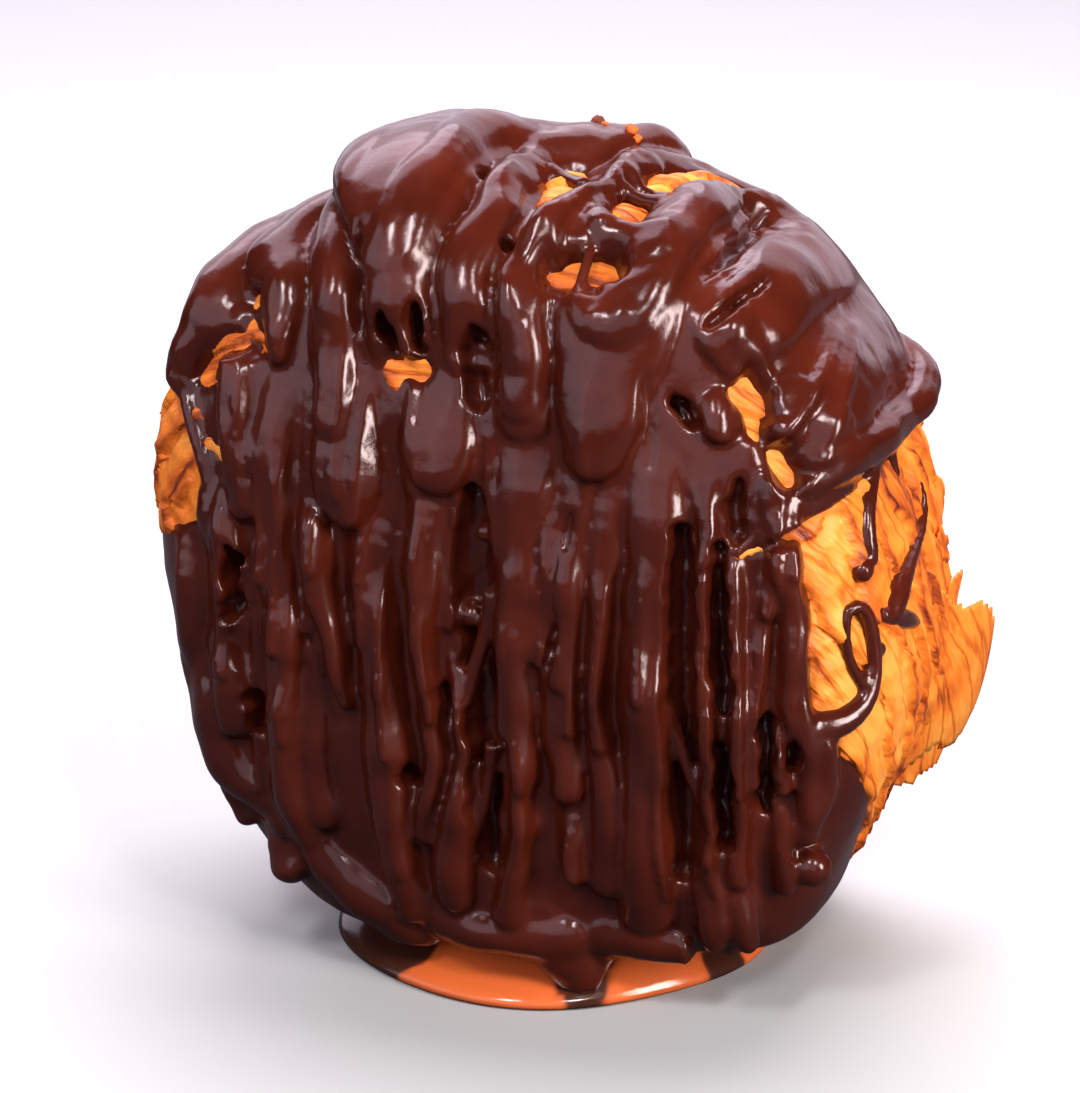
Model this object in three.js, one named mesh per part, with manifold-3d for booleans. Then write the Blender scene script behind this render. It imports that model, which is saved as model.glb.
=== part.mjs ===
// A spiral croissant roll standing on its rim, with chocolate poured over its top and front face
// and a pool of paler sauce round its foot.
//
// Millimetres, +Z up. The roll's axis runs along Y, its front spiral face looks along -Y, and the
// origin is on the ground under the middle of the whole part.
import * as THREE from "three";
import { mergeVertices } from "three/addons/utils/BufferGeometryUtils.js";
import Module from "manifold-3d";

// Bare pastry
const HALF_WIDTH = 50.5;
const HALF_HEIGHT = 53.5;
const HALF_DEPTH = 31.5;
const FOOT_SINK = 2.3; // how much of the round the roll's own weight flattens at its foot
const AXIS_HEIGHT = HALF_HEIGHT - FOOT_SINK;
const SECTION_POWER = 2.4; // 2 is a round rim, more is squarer
const EDGE_POWER = 4; // how tightly the rim turns into the two faces
const LEAN = 0.055; // share by which the rim is drawn out along its lower right diagonal
const LEAN_ANGLE = THREE.MathUtils.degToRad(135);
// Hollows of the uneven rim: angle from the top in degrees, spread, depth
const HOLLOWS = [
  [-30, 15, 1.3],
  [124, 14, 3],
];

// Relief of the baked layers
const COIL_PITCH = 9; // from one turn of the spiral to the next
const COIL_DEPTH = 1.6; // groove between two turns
const LAYER_PITCH = 12.6; // from ridge to ridge across the rim
const LAYER_DEPTH = 0.6;
const RELIEF_FALLOFF = 8; // how sharply the relief of rim and faces fades at the rounded edge
const FLAKE = { angle: THREE.MathUtils.degToRad(105), spread: 0.2, y: 19, width: 5, reach: 6 };

// Chocolate coat
const FILM = 1.7; // the coat between its streams
const EDGE_RUN = 5; // distance in which the coat's edge reaches its full thickness
const EDGE_SLOPE = 1.2; // how steeply the coat's blank dives under bare crust
const EDGE_STEP = 1.5; // stretch of rim over which the edge's direction is found
const DEEPEST = -3; // as deep as the blank goes under bare crust
const SKIN_GAP = 0.3;
const TOP_POUR = 1.6; // extra thickness where the chocolate was poured, over the top
const POUR_HEIGHTS = [84, 98]; // between these heights the pour thins out
// Streams run along the axis over the top and straight down the front: x, half-width, rise
const STREAMS = [
  [-35, 4.6, 1.6],
  [-25.5, 3.4, 2],
  [-18.5, 2.8, 2.2],
  [-12.5, 2.6, 2],
  [-5.5, 2.6, 2],
  [5.5, 4, 2.4],
  [15, 3.4, 2.2],
  [22.5, 3.2, 2.6],
  [33.5, 3, 1.8],
  [42.5, 3, 1.6],
];
// Thick tongues of the pour that stop part of the way down the front: x, tip height, half-width
const TONGUES = [
  [-28, 76, 6],
  [-17, 65, 5.5],
  [-4, 71, 5],
  [16.5, 74, 7.5],
  [30, 78, 5.5],
  [40, 76, 5],
];
const TONGUE_RISE = 2.4;
const TONGUE_SPREAD = 1.4; // a tongue's skirt, as a share of its half-width
const TONGUE_DEPTHS = [20, 28]; // tongues rise between these distances in front of the axis
// Lobes that swell the coat's outline, and one thin place: angle from the top, y, half-size, rise
const LOBES = [
  [-50, -18, 10, 2.6],
  [-34, 14, 13, -1.8],
  [-18, -6, 8, 3.8],
  [10, 8, 8, 1.6],
  [-140, -28, 11, 2.6],
];
// How far back the coat reaches, at angles round the rim from the top. The second number is a
// distance over the drum from the middle of the rim, negative towards the front.
const REACH = [
  [-180, -6],
  [-160, -17],
  [-130, -20],
  [-82, -25],
  [-75, -37],
  [-60, -37],
  [-55, 4],
  [-47, 30],
  [42, 30],
  [57, 22],
  [62, -29],
  [96, -31],
  [105, -23],
  [114, -14],
  [124, -4],
  [150, 4],
  [180, -6],
];
// Gaps where golden crust shows through the pour: x, y, z, half-size
const WINDOWS = [
  [4.5, -12, 104, 3.4],
  [15, -5, 103, 4.6],
  [12, -27.5, 96.5, 4.4],
  [34.5, -26, 85.5, 3.8],
];
// Drips over the back edge: x, tip height, half-width
const BACK_DRIPS = [
  [-34, 74, 5.6],
  [-17, 62, 5.4],
  [0, 80, 6.2],
  [16, 57, 5.4],
  [33, 70, 5.6],
];
const BACK_DRIP_RISE = 1.6;

// Sauce pool
const POOL_CENTRE = [1.6, -3];
const POOL_HALF_WIDTH = 29.4;
const POOL_HALF_DEPTH = 29;
const POOL_HEIGHT = 2.6;
const POOL_SIDES = 44;
// Waves of the pool's edge: how many round it, where they start, share of its half-width
const POOL_WAVES = [
  [3, 0.6, 0.015],
  [5, 2, 0.015],
];
// The pool's rounded rim, from its middle underneath to its middle on top, as shares of its size
const POOL_PROFILE = [
  [0, 0],
  [0.97, 0],
  [1, 0.25],
  [0.985, 0.6],
  [0.93, 0.88],
  [0.82, 1],
  [0, 1],
];

// Fineness of the facets
const PASTRY_SEGMENTS = 60;
const FACE_RINGS = 13;
const RIM_RINGS = 11;
const COAT_COLUMNS = 32;
const COAT_DEPTH_STEPS = 18;

const wasm = await Module();
wasm.setup();

// A closed geometry as a solid that can be cut and joined.
function toSolid(geometry) {
  const bare = geometry.clone();
  bare.deleteAttribute("normal");
  bare.deleteAttribute("uv");
  const welded = mergeVertices(bare, 1e-4);
  const index = welded.index.array;
  const triangles = [];
  for (let i = 0; i < index.length; i += 3) {
    const [a, b, c] = [index[i], index[i + 1], index[i + 2]];
    if (a !== b && b !== c && c !== a) {
      triangles.push(a, b, c);
    }
  }
  const mesh = new wasm.Mesh({
    numProp: 3,
    vertProperties: new Float32Array(welded.attributes.position.array),
    triVerts: new Uint32Array(triangles),
  });
  return new wasm.Manifold(mesh);
}

// A solid back as a geometry with flat facets.
function toGeometry(solid) {
  const mesh = solid.getMesh();
  const geometry = new THREE.BufferGeometry();
  geometry.setAttribute("position", new THREE.BufferAttribute(mesh.vertProperties, 3));
  geometry.setIndex(new THREE.BufferAttribute(mesh.triVerts, 1));
  geometry.computeVertexNormals();
  return geometry;
}

// The largest body of a solid, without the scraps a cut may leave.
function largestBody(solid) {
  const bodies = solid.decompose();
  bodies.sort((a, b) => b.volume() - a.volume());
  return bodies[0];
}

// Distance from the axis to the bare rim, at an angle from the top towards +X.
function rimRadius(angle) {
  const across = Math.abs(Math.sin(angle)) / HALF_WIDTH;
  const up = Math.abs(Math.cos(angle)) / HALF_HEIGHT;
  const plain = (across ** SECTION_POWER + up ** SECTION_POWER) ** (-1 / SECTION_POWER);
  return plain * (1 + LEAN * Math.cos(2 * (angle - LEAN_ANGLE)));
}

// A place on the roll: its angle, its share of the way out to the rim, its share of the way along
// the axis, and how far it stands off the bare surface.
function rollPoint(angle, out, along, rise) {
  const radius = rimRadius(angle);
  const radial = out ** (EDGE_POWER - 1) / radius;
  const axial = (Math.sign(along) * Math.abs(along) ** (EDGE_POWER - 1)) / HALF_DEPTH;
  const length = Math.hypot(radial, axial);
  const r = out * radius + (rise * radial) / length;
  return new THREE.Vector3(
    r * Math.sin(angle),
    along * HALF_DEPTH + (rise * axial) / length,
    AXIS_HEIGHT + r * Math.cos(angle),
  );
}

// Scale that brings a place on the unit box or can to the rounded drum.
function ontoDrum(out, along) {
  return (out ** EDGE_POWER + Math.abs(along) ** EDGE_POWER) ** (-1 / EDGE_POWER);
}

function bell(offset, halfWidth) {
  return Math.exp(-((offset / halfWidth) ** 2));
}

// How far the uneven rim lies under the plain drum.
function hollow(angle, out) {
  let depth = 0;
  for (const [degrees, spread, most] of HOLLOWS) {
    depth += most * bell(THREE.MathUtils.radToDeg(angle) - degrees, spread);
  }
  return depth * out ** EDGE_POWER;
}

// Relief of the bare pastry: a spiral groove on the faces, low ridges and hollows round the rim and
// one flake that stands out at the back edge.
function pastryRelief(angle, out, along) {
  const face = Math.abs(along) ** RELIEF_FALLOFF;
  const rim = out ** RELIEF_FALLOFF;
  const turn = (out * rimRadius(angle)) / COIL_PITCH - angle / (2 * Math.PI);
  const groove = 0.5 - 0.5 * Math.cos(2 * Math.PI * turn);
  const y = along * HALF_DEPTH;
  const layer = Math.cos((2 * Math.PI * y) / LAYER_PITCH + Math.sin(2 * angle));
  const flake =
    FLAKE.reach * bell(angle - FLAKE.angle, FLAKE.spread) * bell(y - FLAKE.y, FLAKE.width);
  const ridges = LAYER_DEPTH * layer * rim - COIL_DEPTH * groove * face * (1 - rim);
  return flake + ridges - hollow(angle, out);
}

// The baked roll, grown by a clearance where it serves to cut its neighbours.
function pastrySolid(clearance) {
  const profile = [];
  for (let i = 0; i < FACE_RINGS; i++) {
    profile.push([i / FACE_RINGS, -1]);
  }
  for (let i = 0; i <= RIM_RINGS; i++) {
    profile.push([1, (2 * i) / RIM_RINGS - 1]);
  }
  for (let i = FACE_RINGS - 1; i >= 0; i--) {
    profile.push([i / FACE_RINGS, 1]);
  }
  const points = profile.map(([out, along]) => {
    const scale = ontoDrum(out, along);
    return new THREE.Vector2(out * scale, along * scale);
  });
  const lathe = new THREE.LatheGeometry(points, PASTRY_SEGMENTS);
  const position = lathe.attributes.position;
  for (let i = 0; i < position.count; i++) {
    const [x, along, z] = [position.getX(i), position.getY(i), position.getZ(i)];
    const out = Math.hypot(x, z);
    const angle = Math.atan2(x, z);
    const place = rollPoint(angle, out, along, pastryRelief(angle, out, along) + clearance);
    position.setXYZ(i, place.x, place.y, Math.max(place.z, -clearance));
  }
  return toSolid(lathe);
}

// How far back the coat reaches at an angle, between the listed angles.
function coatReach(angle) {
  const degrees = THREE.MathUtils.radToDeg(Math.atan2(Math.sin(angle), Math.cos(angle)));
  const next = Math.max(1, REACH.findIndex(([at]) => at >= degrees));
  const [from, fromY] = REACH[next - 1];
  const [to, toY] = REACH[next];
  return THREE.MathUtils.mapLinear(degrees, from, to, fromY, toY);
}

// Distance over the drum from the middle of the rim, negative towards the front, as if the faces
// met the rim square.
function distanceOver(angle, out, along) {
  const slope = along / Math.max(out, 1e-6);
  if (Math.abs(slope) <= 1) {
    return slope * HALF_DEPTH;
  }
  return Math.sign(slope) * (HALF_DEPTH + rimRadius(angle) * (1 - 1 / Math.abs(slope)));
}

// How far a place lies inside the coat's edge, measured square to that edge.
function insideCoat(angle, out, along) {
  const step = EDGE_STEP / rimRadius(angle);
  const slope = (coatReach(angle + step) - coatReach(angle - step)) / (2 * EDGE_STEP);
  return (coatReach(angle) - distanceOver(angle, out, along)) / Math.hypot(1, slope);
}

// How far a place on the back lies inside one of the drips.
function insideBackDrip(x, y, z) {
  if (y < 0) {
    return -Infinity;
  }
  const depths = BACK_DRIPS.map(([at, tip, halfWidth]) => {
    const below = Math.max(0, tip + halfWidth - z);
    return halfWidth - Math.hypot(x - at, below);
  });
  return Math.max(...depths);
}

// Thickness of the coat over the bare pastry, negative where the crust is bare.
function coatThickness(angle, out, along) {
  const place = rollPoint(angle, out, along, 0);
  const { x, y, z } = place;
  const covered = insideCoat(angle, out, along);
  const drip = insideBackDrip(x, y, z);
  const gap = Math.min(
    ...WINDOWS.map(([wx, wy, wz, size]) => place.distanceTo(new THREE.Vector3(wx, wy, wz)) - size),
  );
  const inside = Math.min(Math.max(covered, drip), gap);
  if (inside <= 0) {
    return Math.max(DEEPEST, EDGE_SLOPE * inside);
  }
  let rise = FILM;
  for (const [at, halfWidth, height] of STREAMS) {
    rise += height * bell(x - at, halfWidth);
  }
  if (covered > 0) {
    const tongues = TONGUES.map(([at, tip, halfWidth]) => {
      const below = Math.max(0, tip + halfWidth - z);
      const inside = TONGUE_SPREAD * halfWidth - Math.hypot(x - at, below);
      return THREE.MathUtils.smoothstep(inside, 0, halfWidth);
    });
    const onFront = THREE.MathUtils.smoothstep(-y, ...TONGUE_DEPTHS);
    rise += TONGUE_RISE * onFront * Math.max(...tongues);
    rise += TOP_POUR * THREE.MathUtils.smoothstep(z, ...POUR_HEIGHTS);
  } else {
    rise += BACK_DRIP_RISE;
  }
  for (const [degrees, at, size, height] of LOBES) {
    const turned = THREE.MathUtils.degToRad(degrees) - angle;
    const round = rimRadius(angle) * Math.atan2(Math.sin(turned), Math.cos(turned));
    rise += out ** EDGE_POWER * height * bell(Math.hypot(round, y - at), size);
  }
  return rise * (1 - Math.max(0, 1 - inside / EDGE_RUN) ** 2);
}

// The outside of the coat as a whole drum, sunk under the crust where that is bare.
function coatBlank() {
  const box = new THREE.BoxGeometry(2, 2, 2, COAT_COLUMNS, COAT_DEPTH_STEPS, COAT_COLUMNS);
  const position = box.attributes.position;
  for (let i = 0; i < position.count; i++) {
    const [bx, by, bz] = [position.getX(i), position.getY(i), position.getZ(i)];
    const x = bx * Math.sqrt(1 - (bz * bz) / 2);
    const z = bz * Math.sqrt(1 - (bx * bx) / 2);
    const boxOut = Math.hypot(x, z);
    const scale = ontoDrum(boxOut, by);
    const angle = Math.atan2(x, z);
    const [out, along] = [boxOut * scale, by * scale];
    const rise = coatThickness(angle, out, along) - hollow(angle, out);
    const place = rollPoint(angle, out, along, rise);
    position.setXYZ(i, place.x, place.y, place.z);
  }
  return toSolid(box);
}

// Everything below a height, for trimming the coat above the pool.
function groundBlock(height) {
  const size = 4 * HALF_HEIGHT;
  const block = new THREE.BoxGeometry(size, size, size);
  block.translate(0, 0, height - size / 2);
  return toSolid(block);
}

function coatSolid() {
  const shell = coatBlank().subtract(pastrySolid(SKIN_GAP));
  return largestBody(shell.subtract(groundBlock(POOL_HEIGHT + SKIN_GAP)));
}

// The pool is a low lens with a wandering edge, open where the roll's foot stands in it.
function poolSolid() {
  const points = POOL_PROFILE.map(([out, up]) => new THREE.Vector2(out, up));
  const lens = new THREE.LatheGeometry(points, POOL_SIDES);
  lens.rotateX(Math.PI / 2);
  const position = lens.attributes.position;
  for (let i = 0; i < position.count; i++) {
    const [x, y, up] = [position.getX(i), position.getY(i), position.getZ(i)];
    const turn = Math.atan2(y, x);
    let wander = 1;
    for (const [count, start, share] of POOL_WAVES) {
      wander += share * Math.sin(count * turn + start);
    }
    position.setXYZ(
      i,
      POOL_CENTRE[0] + x * POOL_HALF_WIDTH * wander,
      POOL_CENTRE[1] + y * POOL_HALF_DEPTH * wander,
      up * POOL_HEIGHT,
    );
  }
  return largestBody(toSolid(lens).subtract(pastrySolid(SKIN_GAP)));
}

function addPart(group, name, solid, material) {
  const mesh = new THREE.Mesh(toGeometry(solid), material);
  mesh.name = name;
  group.add(mesh);
}

// Centres the group over the origin, with its lowest point on the ground.
function standOnOrigin(group) {
  const box = new THREE.Box3().setFromObject(group);
  const middle = box.getCenter(new THREE.Vector3());
  group.position.set(-middle.x, -middle.y, -box.min.z);
  group.updateMatrixWorld(true);
}

const crust = new THREE.MeshStandardMaterial({ color: 0xd98a32, roughness: 0.62, metalness: 0 });
const chocolate = new THREE.MeshStandardMaterial({ color: 0x3a140b, roughness: 0.2, metalness: 0 });
const sauce = new THREE.MeshStandardMaterial({ color: 0xa2562c, roughness: 0.22, metalness: 0 });

const croissantRoll = new THREE.Group();
addPart(croissantRoll, "croissant_roll", pastrySolid(0), crust);
addPart(croissantRoll, "chocolate_coat", coatSolid(), chocolate);
addPart(croissantRoll, "sauce_pool", poolSolid(), sauce);
standOnOrigin(croissantRoll);

export default croissantRoll;
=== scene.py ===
# Looks of a spiral croissant roll that stands on its rim, with chocolate poured over its top and
# front face and a pool of paler sauce round its foot.
#
# Sizes are in millimetres in the roll's own frame: its axis runs along Y at AXIS_HEIGHT, its front
# face looks along -Y and Z is up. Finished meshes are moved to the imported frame, in metres.
import math
import random

import bmesh
import bpy
import numpy as np
from mathutils import Matrix, Vector, noise


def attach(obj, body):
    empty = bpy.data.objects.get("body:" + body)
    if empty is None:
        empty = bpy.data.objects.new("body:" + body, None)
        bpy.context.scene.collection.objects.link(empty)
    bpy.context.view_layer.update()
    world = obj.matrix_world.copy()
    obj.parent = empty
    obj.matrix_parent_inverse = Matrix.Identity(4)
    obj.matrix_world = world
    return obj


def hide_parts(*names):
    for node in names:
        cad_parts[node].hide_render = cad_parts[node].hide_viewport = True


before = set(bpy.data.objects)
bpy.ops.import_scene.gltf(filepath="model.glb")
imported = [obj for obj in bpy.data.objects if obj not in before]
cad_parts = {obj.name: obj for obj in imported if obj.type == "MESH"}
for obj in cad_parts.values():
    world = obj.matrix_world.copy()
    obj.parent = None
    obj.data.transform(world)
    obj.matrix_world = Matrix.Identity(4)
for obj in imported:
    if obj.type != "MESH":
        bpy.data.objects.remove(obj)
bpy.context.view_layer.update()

MM = 0.001
ROLL_SHIFT = (-1.11, 0.30, 0.0)  # from the roll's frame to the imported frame

# Bare pastry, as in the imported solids
HALF_WIDTH = 50.5
HALF_HEIGHT = 53.5
HALF_DEPTH = 31.5
AXIS_HEIGHT = 51.2
SECTION_POWER = 2.4
EDGE_POWER = 4
LEAN = 0.055
LEAN_ANGLE = math.radians(135)
COIL_PITCH = 9.0
TINY = 1e-6

# Fineness of the meshes: cuts across, along the axis and up
COAT_CUTS = (190, 110, 200)
PASTRY_CUTS = (138, 90, 144)
COAT_VOXEL = 0.5
COAT_TRIANGLES = 190000
HIDDEN_DEPTH = -0.3  # the coat lies unseen below this, and is coarser there
HIDDEN_KEPT = 0.06  # share of its faces that the unseen side keeps


# Shape of the drum

def rim_radius(angle):
    """Distance from the axis to the bare rim, at an angle from the top towards +X."""
    across = np.abs(np.sin(angle)) / HALF_WIDTH
    up = np.abs(np.cos(angle)) / HALF_HEIGHT
    plain = (across**SECTION_POWER + up**SECTION_POWER) ** (-1 / SECTION_POWER)
    return plain * (1 + LEAN * np.cos(2 * (angle - LEAN_ANGLE)))


def drum_shares(points):
    """Angle from the top, share of the way out to the rim and share of the way along the axis."""
    x = points[..., 0]
    up = points[..., 2] - AXIS_HEIGHT
    angle = np.arctan2(x, up)
    return angle, np.hypot(x, up) / rim_radius(angle), points[..., 1] / HALF_DEPTH


def drum_points(angle, out, along):
    radius = out * rim_radius(angle)
    parts = (radius * np.sin(angle), along * HALF_DEPTH, AXIS_HEIGHT + radius * np.cos(angle))
    return np.stack(np.broadcast_arrays(*parts), axis=-1)


def drum_scale(out, along):
    """How far out a place lies, as a share of the way from the drum's middle to its surface."""
    return (out**EDGE_POWER + np.abs(along) ** EDGE_POWER) ** (1 / EDGE_POWER)


def onto_drum(points):
    """Points moved to the drum's surface, straight from its middle."""
    angle, out, along = drum_shares(points)
    scale = drum_scale(out, along)
    return drum_points(angle, out / scale, along / scale)


def drum_normals(points):
    angle, out, along = drum_shares(points)
    radial = out ** (EDGE_POWER - 1) / rim_radius(angle)
    axial = np.sign(along) * np.abs(along) ** (EDGE_POWER - 1) / HALF_DEPTH
    normals = np.stack([radial * np.sin(angle), axial, radial * np.cos(angle)], axis=-1)
    return normals / np.linalg.norm(normals, axis=-1, keepdims=True)


def height_off_drum(points):
    """About how far points stand off the bare drum, negative inside."""
    _, out, along = drum_shares(points)
    scale = np.maximum(drum_scale(out, along), TINY)
    middle = np.array([0.0, 0.0, AXIS_HEIGHT])
    rays = (points - middle) * (1 - 1 / scale)[..., None]
    return np.sum(rays * drum_normals(onto_drum(points)), axis=-1)


def distance_over(angle, out, along):
    """Distance over the drum from the middle of the rim, negative towards the front face."""
    slope = along / np.maximum(out, TINY)
    steep = np.maximum(np.abs(slope), 1)
    over_face = np.sign(slope) * (HALF_DEPTH + rim_radius(angle) * (1 - 1 / steep))
    return np.where(np.abs(slope) <= 1, slope * HALF_DEPTH, over_face)


def edge_out(along):
    """How far out the surface lies at a share of the way along the axis."""
    return (1 - np.abs(along) ** EDGE_POWER) ** (1 / EDGE_POWER)


def front(x, z):
    """The place on the front face at this x and height."""
    angle, out, _ = drum_shares(np.array([x, 0.0, z]))
    out = min(out, 1.0)
    return drum_points(angle, out, -edge_out(out))


TOP_ROUNDS = 20
LAST_ALONG = 0.995


def top(x, y):
    """The place on top at this x and y."""
    along = y / HALF_DEPTH
    out = edge_out(along)
    angle = 0.0
    for _ in range(TOP_ROUNDS):
        angle = math.asin(max(-1.0, min(1.0, x / (out * rim_radius(angle)))))
    return drum_points(angle, out, along)


def rim_points(angle, y):
    """Places on the rim at these angles and distances along the axis."""
    along = np.clip(y / HALF_DEPTH, -LAST_ALONG, LAST_ALONG)
    return drum_points(angle, edge_out(along), along)


def side(degrees, y):
    """The place on the rim at this angle from the top and this y."""
    return rim_points(math.radians(degrees), y)


# Fields over the drum

def smooth_step(value, low, high):
    share = np.clip((value - low) / (high - low), 0, 1)
    return share * share * (3 - 2 * share)


def bell(offset, half_width):
    return np.exp(-((offset / half_width) ** 2))


def wander(points, length, seed=0.0):
    """Smooth noise from about -1 to 1, with lumps of this length, at each point."""
    scaled = points / length + seed
    return np.array([noise.noise(Vector(place)) for place in scaled.tolist()])


def lumps(points, layers, shift=0.0):
    """Noise in layers: each has an amount, a length and a seed, which the shift moves on."""
    return sum(amount * wander(points, length, seed + shift) for amount, length, seed in layers)


COURSE_STEP = 2.0
COURSE_ROUNDING = 4
CREASE_SHARPNESS = 11.0


def course(stations):
    """A stream's line over the drum in short steps: places, half-widths and rises."""
    rows = []
    for here, there in zip(stations, stations[1:]):
        steps = max(2, round(np.linalg.norm(there[0] - here[0]) / COURSE_STEP))
        for share in np.arange(steps) / steps:
            row = [(1 - share) * np.asarray(a) + share * np.asarray(b) for a, b in zip(here, there)]
            rows.append(np.hstack(row))
    rows.append(np.hstack(stations[-1]))
    rows = np.array(rows)
    for _ in range(COURSE_ROUNDING):
        rows[1:-1] = (rows[:-2] + 2 * rows[1:-1] + rows[2:]) / 4
    return onto_drum(rows[:, :3]), *rows[:, 3:].T


def line_steps(points, places):
    """For each step of a line: its number, how far along it each point lies and how far from it."""
    for i in range(len(places) - 1):
        step = places[i + 1] - places[i]
        share = np.clip((points - places[i]) @ step / (step @ step), 0, 1)
        yield i, share, np.linalg.norm(points - places[i] - share[:, None] * step, axis=1)


def swell(points, stations, power):
    """Rise of a stream with a rounded back over each point. A higher power makes it narrower."""
    places, widths, rises = course(stations)
    reach = widths.max()
    inside = (points > places.min(axis=0) - reach) & (points < places.max(axis=0) + reach)
    near = np.flatnonzero(inside.all(axis=1))
    best = np.zeros(len(near))
    for i, share, gap in line_steps(points[near], places):
        width = widths[i] + share * (widths[i + 1] - widths[i])
        rise = rises[i] + share * (rises[i + 1] - rises[i])
        best = np.maximum(best, rise * np.maximum(0, 1 - (gap / width) ** 2) ** power)
    swollen = np.zeros(len(points))
    swollen[near] = best
    return swollen


def swell_all(points, streams, power):
    """Rise of many streams, which meet in soft creases."""
    total = np.zeros(len(points))
    for stations in streams:
        total += swell(points, stations, power) ** CREASE_SHARPNESS
    return total ** (1 / CREASE_SHARPNESS)


# Where the pour runs. Each station is a place, a half-width and a rise.
# Ridges on top, from left to right, that run over the front edge
RIDGES = [
    [(top(-37, 16), 4.2, 1), (top(-37, -6), 4.4, 2), (top(-38.4, -22), 3.4, 2.4),
     (side(-50, -23.5), 3, 2.4), (side(-56, -22.5), 2.4, 1.8)],
    [(top(-29, 20), 4.4, 1.6), (top(-30, -8), 4.4, 2.4), (top(-32, -22), 4, 2.8),
     (front(-28.8, 95), 4.2, 3), (front(-28, 90), 3.4, 3), (front(-27.6, 86.4), 2, 2.2)],
    [(top(-22, 16), 4.2, 1.4), (top(-22.5, -10), 4.2, 2), (top(-22.2, -23), 3.6, 2.8),
     (front(-19.8, 95), 3.7, 3.2), (front(-19.2, 88), 3.5, 2.8), (front(-19, 81), 3.2, 2)],
    [(top(-9.4, 20), 3.2, 1.6), (top(-8, -6), 3, 2.6), (top(-8, -17), 3, 3), (top(-9.4, -24), 3.4, 3),
     (top(-12, -26.6), 4, 3), (front(-11.4, 96.4), 4.1, 3.2), (front(-10.6, 90), 3.8, 2.4)],
    [(top(-4, 18), 2.8, 1.8), (top(-2.7, -3), 2.8, 2.8), (top(-1.4, -16.6), 2.8, 3),
     (top(-2.2, -23.3), 3.1, 2.8), (top(-4, -26.8), 3.4, 2.8), (front(-2.6, 96), 3.4, 2.8),
     (front(-1.6, 89), 3.2, 1.8)],
    [(top(9.4, -2), 2.2, 1.4), (top(7.8, -12.4), 2, 3), (top(5.8, -16.6), 2.2, 3.4),
     (top(5.4, -22), 2.6, 3.2), (top(4.2, -25.8), 3.2, 3), (front(4.2, 97.6), 3.4, 3),
     (front(5.4, 91.7), 3.7, 2.8), (front(6.6, 82), 3.8, 2.4)],
    [(top(9, -12), 2.2, 2.2), (top(12.4, -18), 2.2, 2.6), (top(16.4, -20), 2.8, 2.6)],
    [(top(6, 28), 5, 1), (top(3, 20), 7.4, 4.6), (top(0, 12), 7, 4.4), (top(-3, 4), 4.8, 2.6)],
    [(top(8, 14), 3.6, 1.2), (top(8.4, 3), 3.2, 2.2), (top(9.2, -6), 2.4, 2)],
    [(top(23, 15), 4, 1.8), (top(19.8, 6), 3.8, 2.8), (top(19.4, -14), 4, 3.2),
     (top(18, -22.6), 5, 3), (front(16.8, 96), 6, 2.6)],
    [(top(31, 18), 5.2, 1.4), (top(31.4, -4), 5.8, 2), (top(31, -18), 5.4, 2.2)],
    [(top(39.5, 16), 4.8, 1.2), (top(40.5, -4), 5.2, 1.6), (top(40.4, -17), 4.8, 1.8)],
    [(side(50, 27), 3, 0.3), (side(56, 22), 3.4, 1.2), (side(61, 16), 3.6, 3.2), (side(63, 8), 3.2, 3.4),
     (side(62.6, -5), 2.8, 2.4), (side(61, -16), 2.6, 2), (side(60, -23), 2.4, 1.6)],
]
# Streams of the front face, where a place is x and height
LEFT_STREAMS = [
    [(-36.6, 90.5, 1.8, 2), (-35.6, 86, 2.3, 2.8), (-34, 80, 2.4, 2.4), (-33, 73, 2, 2.4),
     (-32.6, 66, 2.2, 2)],
    [(-38, 67, 2.8, 1.2), (-36.6, 63.5, 3.6, 2.4), (-35.2, 58, 3.2, 2.6), (-36, 51, 2.4, 1.8),
     (-37.4, 46, 2.2, 1.4)],
    [(-37.4, 50, 2.4, 1.6), (-35.9, 44, 2.9, 2.6), (-34.9, 38.5, 3.1, 3.4), (-34.6, 35.8, 2.8, 3.2)],
    [(-26.6, 84, 2.4, 1.8), (-28, 76, 2.8, 2), (-28.6, 68, 2.7, 2.2), (-28, 60, 2.8, 2.4),
     (-27.4, 52, 3.1, 3), (-26.7, 43, 3.3, 3.6), (-26.3, 35, 3.2, 3.6), (-25.8, 27, 3.2, 3),
     (-24.6, 21, 3, 2.4)],
    [(-42.5, 60, 1.6, 0.8), (-42, 54, 2.2, 1.8), (-41.6, 47, 2.2, 2), (-41.8, 41, 1.6, 1.2)],
    [(-43.5, 46, 1.4, 0.8), (-42.6, 40, 2, 1.6), (-41, 33, 2.2, 2), (-39.4, 28, 1.8, 1.6)],
    [(-38.6, 30, 1.6, 0.8), (-37, 25, 2.2, 2.2), (-35, 20.5, 2, 2.4)],
]
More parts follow.
